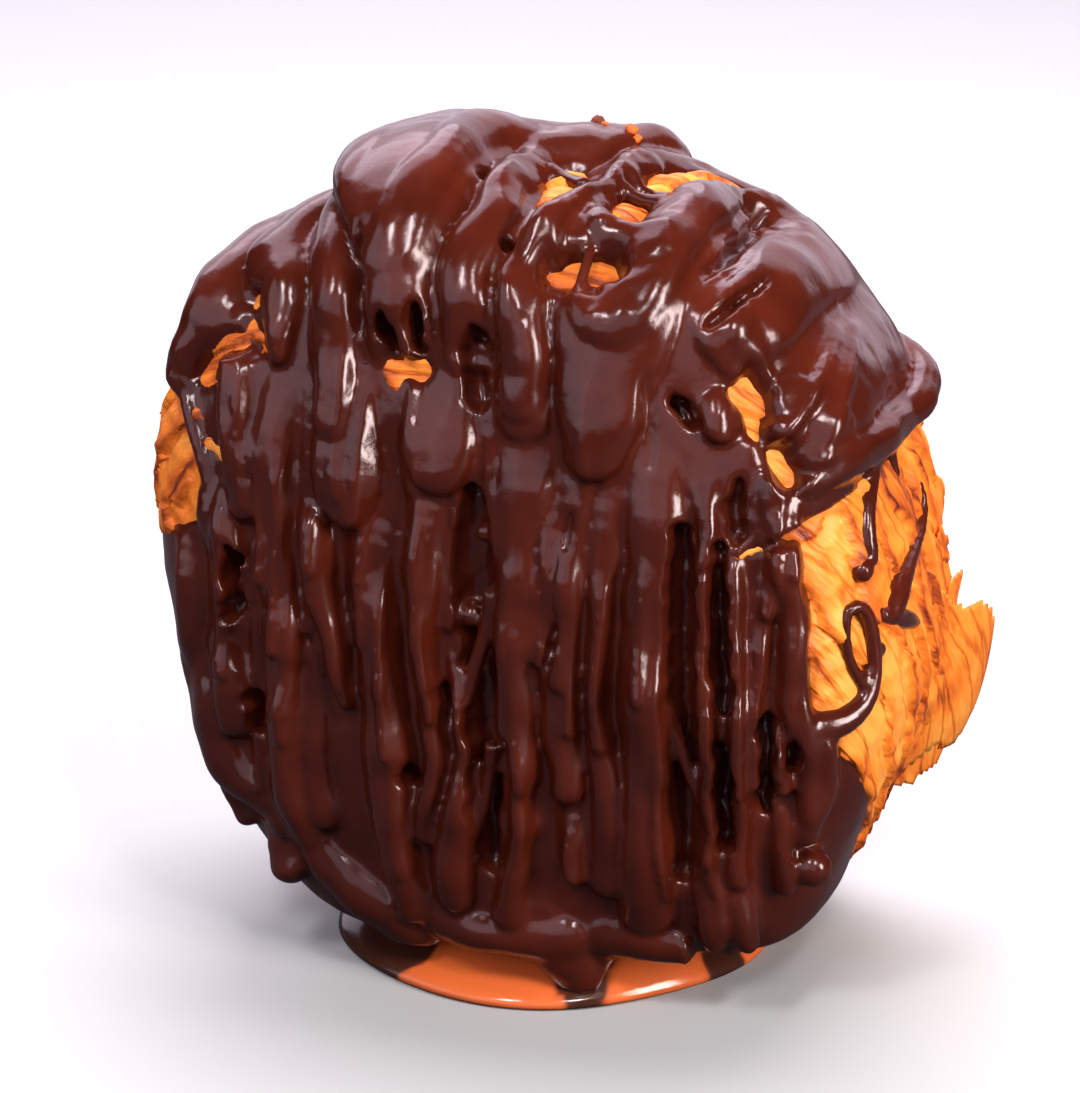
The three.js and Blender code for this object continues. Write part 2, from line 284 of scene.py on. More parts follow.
MIDDLE_STREAMS = [
    # Between the left edge and the first crack
    [(-22.8, 72, 2.4, 1.6), (-22.6, 50, 1.3, 1.2), (-22, 36, 1.7, 1.8), (-21.4, 24, 2.2, 2)],
    [(-13.6, 66, 2.6, 1.8), (-13, 58, 3, 2.6), (-12.4, 48, 3.2, 3.2), (-12.1, 38, 3.2, 3.6),
     (-11.6, 28, 3.1, 3.4), (-11, 20, 3, 2.8), (-9, 13, 3, 2)],
    [(-6.6, 72, 2.6, 2.2), (-6.2, 62, 2.5, 2.8), (-6, 52, 2.1, 3), (-6, 42, 1.6, 3),
     (-6.2, 33, 1.5, 2.8), (-6.6, 24, 1.8, 2.4)],
    [(-2.2, 50, 1.1, 2), (-1.6, 41, 1.4, 3), (-2, 32, 1.7, 3.2), (-2.9, 24, 2.9, 3.4),
     (-2.8, 16, 3.2, 2.6)],
    # Middle
    [(6.8, 80, 3.6, 2.2), (6.7, 70, 3.5, 2.6), (6.6, 60, 3.1, 3), (6.5, 49, 2.8, 3.4),
     (6.3, 40, 2.6, 3.6), (5.8, 33, 1.8, 3.4), (5.6, 24, 1.7, 3.2), (5, 14, 2.4, 2.4)],
    [(13.4, 74, 3, 1.8), (12.6, 64, 3, 2.2), (12.2, 52, 3, 2.4), (12, 42, 3, 2.6),
     (12.2, 33, 2.5, 2.4)],
    [(13.2, 32, 1.7, 2.6), (13.6, 25, 1.8, 3.4), (13.8, 21, 1.7, 3.2)],
    [(17.8, 74, 2.5, 1.8), (17.3, 60, 2.1, 2.4), (17.1, 50, 1.7, 3.2), (17.2, 42, 1.6, 2.6),
     (17.6, 34, 2.2, 2), (18, 20, 2.6, 2)],
    [(23.4, 78, 2.8, 1.8), (23.6, 66, 3, 2.6), (23.5, 56, 3.1, 3.2), (23.4, 44, 3.1, 3.6),
     (23.2, 32, 3, 3.4), (22.6, 22, 3.2, 2.8), (22, 15, 3.2, 2)],
    # Thin strands right of the second crack
    [(29, 76, 1.8, 1.8), (29.6, 66, 1.3, 2.4), (30.2, 56, 1.2, 2.8), (30.8, 47, 1.8, 3.4),
     (31.2, 41, 1.4, 2.8), (31, 34, 1, 2), (30.8, 27, 1, 2.2), (31, 18, 1.9, 2)],
    [(33.4, 66, 1.4, 2.2), (33.8, 56, 1.4, 2.8), (34.4, 44, 1.4, 3), (34.8, 34, 1.4, 2.8),
     (34.8, 22, 1.9, 2.4)],
    [(36.4, 62, 1.3, 2), (36.8, 50, 1.1, 2.4), (36.6, 36, 1.1, 2.2)],
    [(38.6, 47, 1.1, 2.2), (39.2, 40, 1.1, 2.6), (39.6, 35.6, 1.4, 2.6)],
    [(39.6, 33, 1.2, 1.8), (40.2, 27, 1.3, 2.6), (40.2, 20, 1.8, 2.4)],
    [(37, 76, 2.2, 1.6), (39.4, 68, 2.4, 2.4), (40.4, 60, 2.5, 2.6), (41.2, 50, 2.3, 2.6),
     (42.6, 40, 2, 2.8), (42.8, 28, 2, 2.6)],
]
# Along the lower left edge and down to the pool
FOOT_STREAMS = [
    [(-33, 30, 3, 1.6), (-25.4, 20, 3.2, 2), (-19.8, 15, 3.2, 2.2), (-14, 11, 3.4, 2.4),
     (-10, 7, 3.8, 2.2)],
    [(-30.6, 21, 3, 2), (-28, 15.6, 3.4, 3.2)],
    [(29.4, 24, 2, 1.6), (30.2, 16, 2.5, 3.6), (30.6, 13, 2.2, 3.6)],
    [(33.4, 24, 2, 1.6), (34.4, 16.4, 2.4, 3.6), (34.8, 13.6, 2.1, 3.6)],
    [(-8, 12, 3, 1.2), (-2, 10, 3, 2.4), (5, 10.5, 3, 2.4), (12, 11, 3.2, 2.2)],
    [(7, 14, 4, 1.4), (10.8, 9, 4, 2.2), (12.4, 4.5, 3.4, 2.2)],
    [(15, 12, 3, 1.4), (19, 10.5, 3, 2.4), (25, 10, 3, 2.4)],
]
# Streams of the rim, where a place is the angle from the top and y
LEFT_RIM_STREAMS = [
    [(-100, -27, 3, 1.4), (-110, -26.6, 3.6, 3), (-118, -26.6, 3.4, 3.4), (-126, -27, 3.2, 3),
     (-133, -28, 3, 2.2)],
]
RIGHT_RIM_STREAMS = [
    [(93, -27.6, 2, 1.6), (100, -25.4, 2, 2.4), (107, -25, 2.2, 2.8), (114, -25, 2.1, 2.8),
     (119, -26, 2.3, 2)],
]


def laid(place, rows):
    """Rows of stations that begin with the two numbers of a place, laid on the drum."""
    return [[(place(first, second), *sizes) for first, second, *sizes in row] for row in rows]


STREAMS = RIDGES + laid(front, LEFT_STREAMS) + laid(side, LEFT_RIM_STREAMS) + laid(front, MIDDLE_STREAMS)
STREAMS += laid(side, RIGHT_RIM_STREAMS) + laid(front, FOOT_STREAMS)

# Thick tongues of the pour that lie over the streams and end in a lip
TONGUES = [
    [(front(-17.6, 82), 4.4, 0.3), (front(-17, 75), 5, 3.2), (front(-16.8, 70.5), 4.4, 3.8),
     (front(-16.6, 68.8), 3.4, 3.4)],
    [(front(-22, 65.5), 2.3, 2.6), (front(-21.3, 60), 2.3, 3.6), (front(-20.1, 53), 2.1, 3.6),
     (front(-18.6, 45.5), 1.7, 3), (front(-17.5, 41.4), 1.1, 2)],
    [(front(-5, 84.5), 4, 0.3), (front(-4.6, 78.5), 4.8, 3), (front(-4.2, 75.5), 4.5, 3.6)],
    [(top(18, -20), 5.6, 0.3), (front(17, 96), 7.6, 1.8), (front(17, 88), 7, 3),
     (front(16.2, 81.5), 5.4, 3.6), (front(16, 79), 4.4, 3.2)],
    [(front(4.4, 99), 3.4, 0.3), (front(5.4, 91.7), 3.5, 1.8), (front(6.4, 84.5), 3.2, 1.4)],
    [(top(25.6, -20), 3, 0.3), (top(28.4, -22.8), 3, 2.8), (top(32.4, -22.4), 2.4, 3),
     (top(34.4, -22.2), 2, 2.8), (top(33.4, -25), 1.6, 1.8)],
    [(top(30.2, -26.4), 2.2, 0.8), (front(30.6, 85.6), 2.2, 3), (front(30.7, 81.8), 2.1, 3)],
    [(front(36.8, 84), 2.4, 2), (front(36.2, 81), 2.5, 3)],
    [(top(41, -19), 3.2, 1.4), (side(55, -23.5), 3, 2), (side(58, -25), 2.4, 1.4)],
    [(side(-43, -8), 5, 0.8), (side(-46, -19), 4.4, 3), (side(-52, -22.6), 3.8, 4.2),
     (side(-57, -23.6), 2.4, 2.6)],
]

# One fat lobe at the upper left that stands out from the skyline
FAT_LOBE = [
    (top(0, 13), 6, 0.4), (top(-9, 10), 8, 1.6), (top(-16, 4), 9.6, 6.2), (top(-17, -5), 10, 6.8),
    (top(-15.5, -13), 8.8, 6.2), (top(-13.5, -19.5), 6.8, 5), (top(-12.6, -24), 4.8, 3.2),
]
LOBE_POWER = 0.24

# Creases between streams: two ends and a half-width
CREASES = [
    (front(-15.7, 100), front(-15.2, 90), 1.3),
    (front(-10.6, 79), front(-10.4, 65), 1.3),
    (front(11.6, 57), front(11.4, 50), 0.9),
    (front(13.4, 70.5), front(13.6, 66), 1.2),
    (front(22.6, 88), front(22.4, 77), 1.3),
    (top(25.2, 8), top(24.8, -19), 1.4),
    (top(26.6, -22.6), top(30, -14), 1.1),
]

# Cracks where the layers of the pastry show under a thin film: x, height and half-width
CRACKS = laid(front, [
    [(-0.2, 91, 1.4), (0, 87, 2.2), (0.4, 83.5, 1.6)],
    [(-0.4, 71, 1.6), (0, 64, 3.1), (0.2, 56, 2.9), (0.6, 48, 2.3), (1.2, 42, 1.9), (1.5, 33, 2),
     (1.4, 20, 1.1)],
    [(26.8, 69, 1.2), (27.5, 58, 1.9), (27.8, 46, 2.1), (28, 35, 2), (27.8, 22, 1.1)],
    [(31.6, 67, 0.9), (32, 56, 1.2), (33, 40, 1.2), (33, 27, 1.2)],
    [(33, 75, 0.9), (33.4, 71.5, 1.7), (33.5, 68, 1)],
    [(37.8, 45, 0.8), (38, 39, 1), (38.2, 32, 0.9)],
    [(-33, 60, 0.8), (-33.4, 56, 1.3), (-34, 51, 0.9)],
])
# Pits in the pour, in the same way, then by angle and y, and by x and y
PITS = laid(front, [
    [(-12, 92.4, 0.9), (-11.7, 90.4, 1.4), (-11.6, 88.8, 1)],
    [(-8, 93.6, 0.8), (-7.8, 91, 1.3), (-7.6, 89, 0.9)],
    [(25.4, 84.6, 1), (26.8, 83.4, 1.9), (28, 82, 1.2)],
    [(-31.2, 40, 0.7), (-31, 37, 1.2), (-30.8, 34.6, 0.8)],
    [(-4, 45, 0.7), (-3.9, 42.6, 1), (-3.8, 40, 0.6)],
    [(-9, 33.4, 0.7), (-8.9, 31, 0.9)],
    [(1, 100.8, 0.6), (1.6, 100.2, 0.7)],
])
PITS += laid(side, [
    [(103, -27.6, 0.8), (106, -27.4, 1.1), (108, -27.4, 0.7)],
])
PITS += laid(top, [
    [(-5.6, -11, 0.6), (-5, -12.6, 0.9)],
])


CREASE_END = (0.5, 0.6)  # half-width and depth where a crease runs out


def crease_stations(start, end, half_width):
    """A crease that is widest in its middle and runs out at both ends."""
    return [(start, *CREASE_END), ((start + end) / 2, half_width, 1), (end, *CREASE_END)]


def most_of(streams, points, power):
    """The highest of several streams, or the deepest of several cuts, at each point."""
    return np.max([swell(points, stations, power) for stations in streams], axis=0)


# How far back the coat reaches, at angles from the top, as a distance over the drum
REACH = [
    (-180, -6), (-160, -10), (-130, -8), (-100, -4), (-86, -8), (-80, -22), (-75, -37), (-60, -37),
    (-55, 4), (-47, 30), (42, 30), (55, 26), (62, 20), (66, 8), (66, -12), (66.5, -29), (96, -31),
    (105, -23), (114, -14), (124, -4), (150, 4), (180, -6),
]
# Gaps where golden crust shows through the pour: each station is a place and a half-width
WINDOWS = [
    [(top(1.8, 0.8), 1.2), (top(3.7, -9.6), 1.8), (top(4.2, -13.6), 1.3)],
    [(top(12.3, -3.6), 1.2), (top(13.1, -9.6), 1.9), (top(13.2, -13.6), 1.5)],
    [(top(12.6, 1.4), 1.2), (top(15, 8), 1.9), (top(18.4, 13.4), 1.7)],
    [(top(24.3, 9.4), 1.2), (top(24.3, 7.4), 1.4)],
    [(top(8.6, -24.2), 1.5), (top(11, -23), 1.9), (top(14, -22.2), 1.7)],
    [(top(32.6, -23.4), 1.4), (top(34, -23.2), 1.8), (top(34.4, -24.8), 1.2)],
    [(side(53.4, -24.6), 1.0), (side(56.4, -24), 1.5), (side(58.6, -24.4), 1.1)],
    [(front(-33.1, 92), 0.9), (front(-33.4, 89), 1.1), (front(-31.6, 86.2), 0.9)],
    [(side(-43.5, -26.5), 0.9), (front(-39, 85.5), 1.3), (front(-39.6, 81.6), 1.2)],
    [(front(-11.2, 86.4), 1.3), (front(-7.8, 86.4), 1.3)],
    [(front(-0.6, 88.6), 1.2), (front(0.8, 88.2), 1.2)],
]
# Crust that stands up through the pour
CRUST_RIDGES = [
    [(top(12, 0.4), 2.2, 2.2), (top(15, 8), 2.8, 3.8), (top(18.6, 13.4), 2.8, 3.8),
     (top(20.4, 16), 2.2, 2)],
    [(top(12.3, -3), 2, 1.4), (top(13.1, -9), 3, 2.2), (top(13.2, -13), 2.2, 1.4)],
    [(top(1.8, 1.4), 2, 1.4), (top(3.5, -8.6), 2.9, 2.4), (top(4.2, -12.8), 2.2, 1.4)],
]
# Drips over the back edge: x, height of the tip and half-width
BACK_DRIPS = [(-34, 74, 5.8), (-17, 62, 5.6), (0, 80, 6.4), (16, 57, 5.6), (33, 70, 5.8)]
DRIP_RISE = 3.0
DRIP_BULB = 1.3  # length of a drip's thick tip, in half-widths
DRIP_NECK = 0.66  # half-width of its neck, as a share
DRIP_NECK_RISE = 0.7  # rise of its neck, as a share
DRIP_DRIFT = [(1.4, 11.0, 18.3)]
DRIP_UNEVEN = [(0.12, 6.0, 19.1)]
DRIP_START = (0.78, 0.97)  # shares along the axis between which drips begin to stand up
BACK_SHARES = (0.85, 0.97)  # and between which the back face begins
NOWHERE = 99.0  # further off than any edge

# Thin runs down the front: ranges to pick from
RIVULET_SEED = 5
RIVULET_COUNT = 46
RIVULET_X = (-36, 42)
RIVULET_Z = (36, 92)
RIVULET_DROP = (5, 11)
RIVULET_WIDTH = (0.8, 1.6)
RIVULET_RISE = (0.6, 1.3)
RIVULET_SWAY = (-1.0, 1.0)
RIVULET_GROWTH = (0.3, 0.7, 0.9, 1.0)
RIVULET_NECK = 0.7  # width where a run begins, as a share

# Thickness of the pour
FILM = 0.7
FILM_LUMPS = [(0.3, 9.0, 1.3), (0.12, 3.0, 2.1)]
TOP_POUR = 1.3
POUR_HEIGHTS = (84, 98)
SHOULDER_ANGLE = -32
SHOULDER_SPREAD = 7
FOOT_FILM = 1.0  # extra thickness where the streams run together over the foot
FOOT_HEIGHTS = (9, 20)
SHEET_POUR = 2.2  # extra thickness of the broad sheet over the right of the top
SHEET_ANGLES = (2, 12, 58, 68)  # it is whole between the middle two
SHEET_SHARES = (0.8, 0.98)  # shares of the way out over which it begins
STREAM_POWER = 0.5
STREAM_UNEVEN = [(0.35, 6.5, 14.1)]
STREAM_DRIFT = [(1.3, 15.0, 11.3), (0.8, 6.0, 12.7)]
RIVULET_POWER = 0.6
UNDER_LOBE = 0.5  # how much of a stream is lost under the fat lobe
LOBE_HIDES = 3.0  # where the lobe is this high
UNDER_TONGUE = 0.4
TONGUE_HIDES = 2.0
STREAM_START = 0.1  # rise at which a stream starts
DROOP = 0.4  # how far tongues sag, as a share of their rise

# Edges, gaps, creases and cracks of the pour
# Height of the coat's lip over the pool, at places across the roll
FOOT_LINE = [
    (-60, 8), (-30, 7), (-18, 5.6), (7, 5.6), (9.6, 2), (14.6, 2), (17.4, 6.2), (28, 6), (36, 7), (60, 9),
]
EDGE_RUN = 2.6  # how far from its edge the coat is rounded
EDGE_SLOPE = 1.2
EDGE_RAGGED = [(1.0, 5.0, 3.7)]
REACH_STEP = 1.7  # degrees to each side over which the edge's slant is measured
SUNK_EDGE = -0.8  # the coat's edge ends this far under the crust
BACK_SINK = 1.8  # and this much deeper in the grooves of the back face
COAT_INSIDE = -1.3  # the coat's inner side
WINDOW_RUN = 1.8
WINDOW_RAGGED = [(1.0, 2.6, 9.1), (0.5, 1.2, 9.9)]
WINDOW_THINNING = 0.3  # how much thinner the pour is beside a window
THINNING_RUN = (0.5, 6)
CREASE_POWER = 1.2
CREASE_DEPTH = 0.85  # as a share of the pour
CRACK_POWER = 0.5
CRACK_FLOOR = 0.5
CRACK_RAGGED = [(0.8, 3.2, 15.1), (0.4, 1.6, 19.1)]
CRACK_SHIFTS = (0.0, 1.6, 2.8)
GASH_DEPTH = 3.8  # how deep cracks go into the pastry
STRATA_PITCH = 1.7
STRATA_RISE = 1.2
STRATA_POWER = 0.7
STRATA_DRIFT = [(0.8, 6.0, 5.3)]
HOLLOWS = [(-30, 15, 1.3), (124, 14, 3.0), (151, 10, 4.4)]  # of the rim: angle, spread and depth


def inside_coat(points):
    """How far each point of the drum lies inside the coat's edge."""
    angle, out, along = drum_shares(points)
    degrees = np.degrees(angle)
    angles, limits = np.array(REACH).T
    reach = np.interp(degrees, angles, limits)
    after = np.interp(degrees + REACH_STEP, angles, limits)
    before = np.interp(degrees - REACH_STEP, angles, limits)
    slope = (after - before) / (2 * math.radians(REACH_STEP) * rim_radius(angle))
    covered = (reach - distance_over(angle, out, along)) / np.hypot(1, slope)
    return covered + lumps(points, EDGE_RAGGED)


def back_drips(points):
    """How far each point lies inside a drip of the back face, and how high the drip stands there."""
    depth = np.full(len(points), -NOWHERE)
    rise = np.zeros(len(points))
    x, y, z = points.T
    x = x - lumps(points, DRIP_DRIFT)
    for at, tip, half_width in BACK_DRIPS:
        bulb = bell(z - tip - half_width, DRIP_BULB * half_width)
        width = half_width * (DRIP_NECK + (1 - DRIP_NECK) * bulb) * (1 + lumps(points, DRIP_UNEVEN, at))
        inside = width - np.hypot(x - at, np.maximum(0, tip + width - z))
        share = np.clip(inside / width, 0, 1)
        height = DRIP_NECK_RISE + (1 - DRIP_NECK_RISE) * bulb
        depth = np.maximum(depth, inside)
        rise = np.maximum(rise, DRIP_RISE * height * np.sqrt(share * (2 - share)))
    return np.where(y > 0, depth, -NOWHERE), rise * smooth_step(y / HALF_DEPTH, *DRIP_START)


def on_back(points):
    """1 on the back face and 0 on the rim and the front."""
    return smooth_step(points[:, 1] / HALF_DEPTH, *BACK_SHARES)


def strip_gap(points, stations):
    """Distance from each point to a strip's edge, negative inside it."""
    places, widths = course(stations)
    gap = np.full(len(points), NOWHERE)
    for i, share, away in line_steps(points, places):
        gap = np.minimum(gap, away - widths[i] - share * (widths[i + 1] - widths[i]))
    return gap


def inside_windows(points):
    """Distance from each point to the edge of the nearest window, negative inside one."""
    gap = np.min([strip_gap(points, stations) for stations in WINDOWS], axis=0)
    return gap + lumps(points, WINDOW_RAGGED)


def torn(points):
    """The points with an uneven drift, which makes cracks ragged."""
    return points + np.stack([lumps(points, CRACK_RAGGED, shift) for shift in CRACK_SHIFTS], axis=-1)


def cut_share(rows, points, wider=1.0):
    """How deep cracks or pits are at each point, from 0 to 1."""
    cuts = [[(place, wider * half_width, 1) for place, half_width in row] for row in rows]
    return most_of(cuts, torn(points), CRACK_POWER)


def gash(points, wider=1.0):
    """Depth of the cracks and pits in the pastry itself."""
    return GASH_DEPTH * cut_share(CRACKS + PITS, points, wider)


def strata(points):
    """Thin level layers of the pastry, as they show in its cracks."""
    level = points[:, 2] + lumps(points, STRATA_DRIFT)
    return STRATA_RISE * np.abs(np.cos(math.pi * level / STRATA_PITCH)) ** STRATA_POWER


def hollow(points):
    """How far the uneven rim lies under the plain drum."""
    angle, out, _ = drum_shares(points)
    depth = np.zeros(len(points))
    for degrees, spread, most in HOLLOWS:
        depth += most * bell(np.degrees(angle) - degrees, spread)
    return depth * out**EDGE_POWER


def wobbled(points):
    """The points with a sideways drift, which makes straight streams wander."""
    moved = points.copy()
    moved[:, 0] += lumps(points, STREAM_DRIFT)
    return moved


def sheet_pour(points):
    """Thickness of the broad sheet over the right of the top."""
    angle, out, _ = drum_shares(points)
    degrees = np.degrees(angle)
    start, full, end, bare = SHEET_ANGLES
    share = smooth_step(degrees, start, full) * (1 - smooth_step(degrees, end, bare))
    return SHEET_POUR * share * smooth_step(out, *SHEET_SHARES)


def top_pour(points):
    """Thickness that the pour has on top, less on the shoulder beside the fat lobe."""
    degrees = np.degrees(drum_shares(points)[0])
    shoulder = bell(degrees - SHOULDER_ANGLE, SHOULDER_SPREAD)
    return TOP_POUR * smooth_step(points[:, 2], *POUR_HEIGHTS) * (1 - shoulder)


def foot_lip(points):
    """How far each point lies above the lip where the coat ends over the pool."""
    across, heights = np.array(FOOT_LINE).T
    return points[:, 2] - np.interp(points[:, 0], across, heights)


def rivulets():
    """Thin runs of chocolate down the front, which make its streams uneven."""
    pick = random.Random(RIVULET_SEED)
    runs = []
    for _ in range(RIVULET_COUNT):
        ranges = (RIVULET_X, RIVULET_Z, RIVULET_DROP, RIVULET_WIDTH, RIVULET_RISE)
        x, z, drop, width, rise = [pick.uniform(*ends) for ends in ranges]
        run = []
        for growth in RIVULET_GROWTH:
            share = RIVULET_NECK + (1 - RIVULET_NECK) * growth
            run.append((front(x, z), width * share, rise * growth))
            x += pick.uniform(*RIVULET_SWAY)
            z -= drop
        runs.append(run)
    return runs


def eased(stations):
    """A stream that grows from almost nothing at its start."""
    place, half_width, _ = stations[0]
    return [(place, half_width, STREAM_START), *stations[1:]]


def pour_rise(points, loose, lobe, hanging):
    """Thickness of the pour with its streams, lobe and tongues, before its edges and cracks."""
    streams = swell_all(loose, [eased(row) for row in STREAMS], STREAM_POWER)
    streams *= 1 + lumps(points, STREAM_UNEVEN)
    streams *= 1 - UNDER_LOBE * np.minimum(1, lobe / LOBE_HIDES)
    tongues = np.maximum(hanging, lobe)
    streams *= 1 - UNDER_TONGUE * np.minimum(1, tongues / TONGUE_HIDES)
    foot = FOOT_FILM * (1 - smooth_step(points[:, 2], *FOOT_HEIGHTS))
    film = FILM + top_pour(points) + sheet_pour(points) + foot + lumps(points, FILM_LUMPS)
    return film + streams + tongues + swell_all(points, rivulets(), RIVULET_POWER)


def coat_shape(points):
    """The coat over points of the drum: its thickness, how far it sags and where it is absent."""
    drips, drip_rise = back_drips(points)
    windows = inside_windows(points)
    inside = np.minimum(np.maximum(inside_coat(points), drips), windows)
    inside = np.minimum(inside, foot_lip(points))
    loose = wobbled(points)
    lobe = swell(points, FAT_LOBE, LOBE_POWER)
    hanging = swell_all(loose, TONGUES, STREAM_POWER)
    rise = pour_rise(points, loose, lobe, hanging) + drip_rise
    rise *= 1 - WINDOW_THINNING * (1 - smooth_step(windows, *THINNING_RUN))
    creases = most_of([crease_stations(*row) for row in CREASES], loose, CREASE_POWER)
    rise *= 1 - CREASE_DEPTH * creases
    cracked = cut_share(CRACKS, points)
    pitted = cut_share(PITS, points)
    rise += cracked * (CRACK_FLOOR + strata(points) - GASH_DEPTH - rise)
    rise += pitted * (CRACK_FLOOR - GASH_DEPTH - rise)
    run = np.where(windows <= inside, WINDOW_RUN, EDGE_RUN)
    edge = 1 - np.maximum(0, 1 - np.maximum(inside, 0) / run) ** 2
    thickness = np.where(inside > 0, rise * edge, EDGE_SLOPE * inside)
    sunk = SUNK_EDGE - BACK_SINK * on_back(points)
    deepest = sunk - GASH_DEPTH * np.maximum(cracked, pitted)
    bare = EDGE_SLOPE * inside <= sunk
    return np.maximum(thickness, deepest) - hollow(points), DROOP * hanging, bare


# Meshes

LEVEL = 1e-4  # an edge that covers less than this of an axis doesn't run along it
BALL_CUTS = 3


def drum_block(cuts):
    """A cube cut finely, whose points are then laid on the drum."""
    block = bmesh.new()
    bmesh.ops.create_cube(block, size=2)
    for axis in range(3):
        lines = [e for e in block.edges if abs((e.verts[0].co - e.verts[1].co)[axis]) > LEVEL]
        bmesh.ops.subdivide_edges(block, edges=lines, cuts=cuts[axis], use_grid_fill=True)
    return block


def block_points(block):
    """The block's points laid on the drum, with even spacing over the faces and the rim."""
    box = np.array([v.co for v in block.verts])
    x = box[:, 0] * np.sqrt(1 - box[:, 2] ** 2 / 2)
    z = box[:, 2] * np.sqrt(1 - box[:, 0] ** 2 / 2)
    out = np.hypot(x, z)
    angle = np.arctan2(x, z)
    scale = drum_scale(out, box[:, 1])
    return drum_points(angle, out / scale, box[:, 1] / scale)


def mesh_points(mesh):
    flat = np.empty(len(mesh.vertices) * 3)
    mesh.vertices.foreach_get("co", flat)
    return flat.reshape(-1, 3)


def set_mesh_points(mesh, points):
    mesh.vertices.foreach_set("co", np.asarray(points, dtype=np.float32).ravel())
    mesh.update()


def set_points(block, points):
    for vert, place in zip(block.verts, points.tolist()):
        vert.co = place


def add_layer(mesh, name, values):
    """A number or a vector for each point of the mesh, which its material reads."""
    values = np.asarray(values, dtype=np.float32)
    kind, field = ("FLOAT", "value") if values.ndim == 1 else ("FLOAT_VECTOR", "vector")
    mesh.attributes.new(name, kind, "POINT").data.foreach_set(field, values.ravel())


def to_mesh(block, name):
    mesh = bpy.data.meshes.new(name)
    bmesh.ops.recalc_face_normals(block, faces=block.faces[:])
    block.to_mesh(mesh)
    block.free()
    return mesh


def finish_piece(name, mesh, material, stands_for):
    """Moves a mesh from the roll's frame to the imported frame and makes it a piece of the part."""
    mesh.transform(Matrix.Scale(MM, 4) @ Matrix.Translation(ROLL_SHIFT))
    mesh.shade_smooth()
    mesh.name = name
    mesh.materials.clear()
    mesh.materials.append(material)
    piece = bpy.data.objects.new(name, mesh)
    bpy.context.scene.collection.objects.link(piece)
    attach(piece, "root")
    if stands_for:
        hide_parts(stands_for)


def baked(mesh, modifiers, group=()):
    """The mesh after these modifiers: each is a kind and its settings. The group names vertices."""
    holder = bpy.data.objects.new("holder", mesh)
    bpy.context.scene.collection.objects.link(holder)
    if len(group):
        holder.vertex_groups.new(name="group").add(group.tolist(), 1.0, "REPLACE")
    for kind, settings in modifiers:
        modifier = holder.modifiers.new(kind.lower(), kind)
        for name, value in settings.items():
            setattr(modifier, name, value)
    shaped = holder.evaluated_get(bpy.context.evaluated_depsgraph_get())
    result = bpy.data.meshes.new_from_object(shaped)
    bpy.data.objects.remove(holder)
    return result


# Pastry

# Sheets of the rim
SHEET_PITCH = 6.5
SHEET_STEP = 1.0
SHEET_CURVE = 1.5
SHEET_DRIFT = [(5, 15.0, 4.4), (2, 6.0, 6.2), (0.8, 2.4, 7.3)]
FIBRE_LEAN = (0.87, 0.48)  # how far back and how far up it is across the fibres
FIBRE_STRETCH = 6.0
FIBRES = [(0.35, 1.1, 3.3)]
RIM_LUMPS = [(0.5, 6.5, 2.9)]
CRINKLES = [(1.0, 3.6, 8.8)]
CRINKLE_RISE = 0.4
RIM_POWER = 8  # the share of the way out, to this power, tells the rim from a face
RIM_SHARES = (0.1, 0.9)

# Spiral of a face
COIL_DEPTH = 1.9
COIL_ROUNDING = 0.6
COIL_DRIFT = [(0.12, 12.0, 7.7)]
FINE_PITCH = 1.15
FINE_RISE = 0.3
FINE_DRIFT = [(1.5, 5.0, 1.9)]
FINE_FADE = (-2.0, 0.5)  # distances inside a drip over which the fine layers fade
FACE_LUMPS = [(0.5, 8.0, 3.1)]

# Pastry at the coat, with distances inside the coat's edge
UNDER_COAT = 0.7  # how far the pastry lies back where the coat hides it
HIDDEN_RUN = (1.0, 4.0)
GASH_WIDENING = 1.6
RIDGE_POWER = 0.3
WINDOW_SINK = 0.8  # how much deeper the crust lies inside the coat's edge
SINK_RUN = (2, 5)
WINDOW_BAKE = 0.04  # how much browner the crust is there
BAKE_RUN = (2, 6)
DARKER_FOOT_HEIGHTS = (5, 9)  # below these heights the crust inside the coat's edge is darker
DARKER_FOOT_RUN = (-1, 1)

# How brown the crust is, from 0 to 1
RIM_BAKE = 0.14
FAR_BAKE = 0.16  # how much browner the rim is away from the front
FAR_Y = (-19, 4)
EDGE_BAKE = 0.3  # how much browner the edges of sheets are
EDGE_SHARES = (0.02, 0.4)
SHEET_BAKE = 0.13  # how much sheets differ
SHEET_CHANGE = 9.7  # sets how that changes from sheet to sheet
BAKE_PATCHES = [(0.2, 11.0, 5.5)]
LEFT_BAKE = 0.14  # how much browner the rim is at the left
LEFT_X = (0, 20)
TOAST_AND_LIP_SHADE = 0.26  # how much browner the rim is beside the broad sheet: toasted crust, partly painted shade under the sheet's lip
TOAST_AND_SHADE_ANGLE = 69
TOAST_AND_SHADE_SPREAD = 10
TOAST_AND_SHADE_Y = -11
TOAST_AND_SHADE_DEPTH = 9
FACE_BAKE = 0.25
COIL_BAKE = 0.5
FINE_BAKE = 0.12


def saw(turns):
    """A tooth that climbs slowly and drops at once, from 0 to 1."""
    return turns - np.floor(turns)


def fibre_places(points):
    """Places across and along the fibres of the rim, which run down towards the back."""
    x, y, z = points.T
    back, up = FIBRE_LEAN
    across = back * y + up * z
    along = (up * y - back * z) / FIBRE_STRETCH
    return np.stack([across, along, x / FIBRE_STRETCH], axis=-1)


def grain_places(points, on_rim):
    """Places across and along the layers, on the rim and round the faces."""
    x, _, z = points.T
    up = z - AXIS_HEIGHT
    round_face = np.stack([np.hypot(x, up), x / FIBRE_STRETCH, up / FIBRE_STRETCH], axis=-1)
    share = on_rim[:, None]
    return share * fibre_places(points) + (1 - share) * round_face


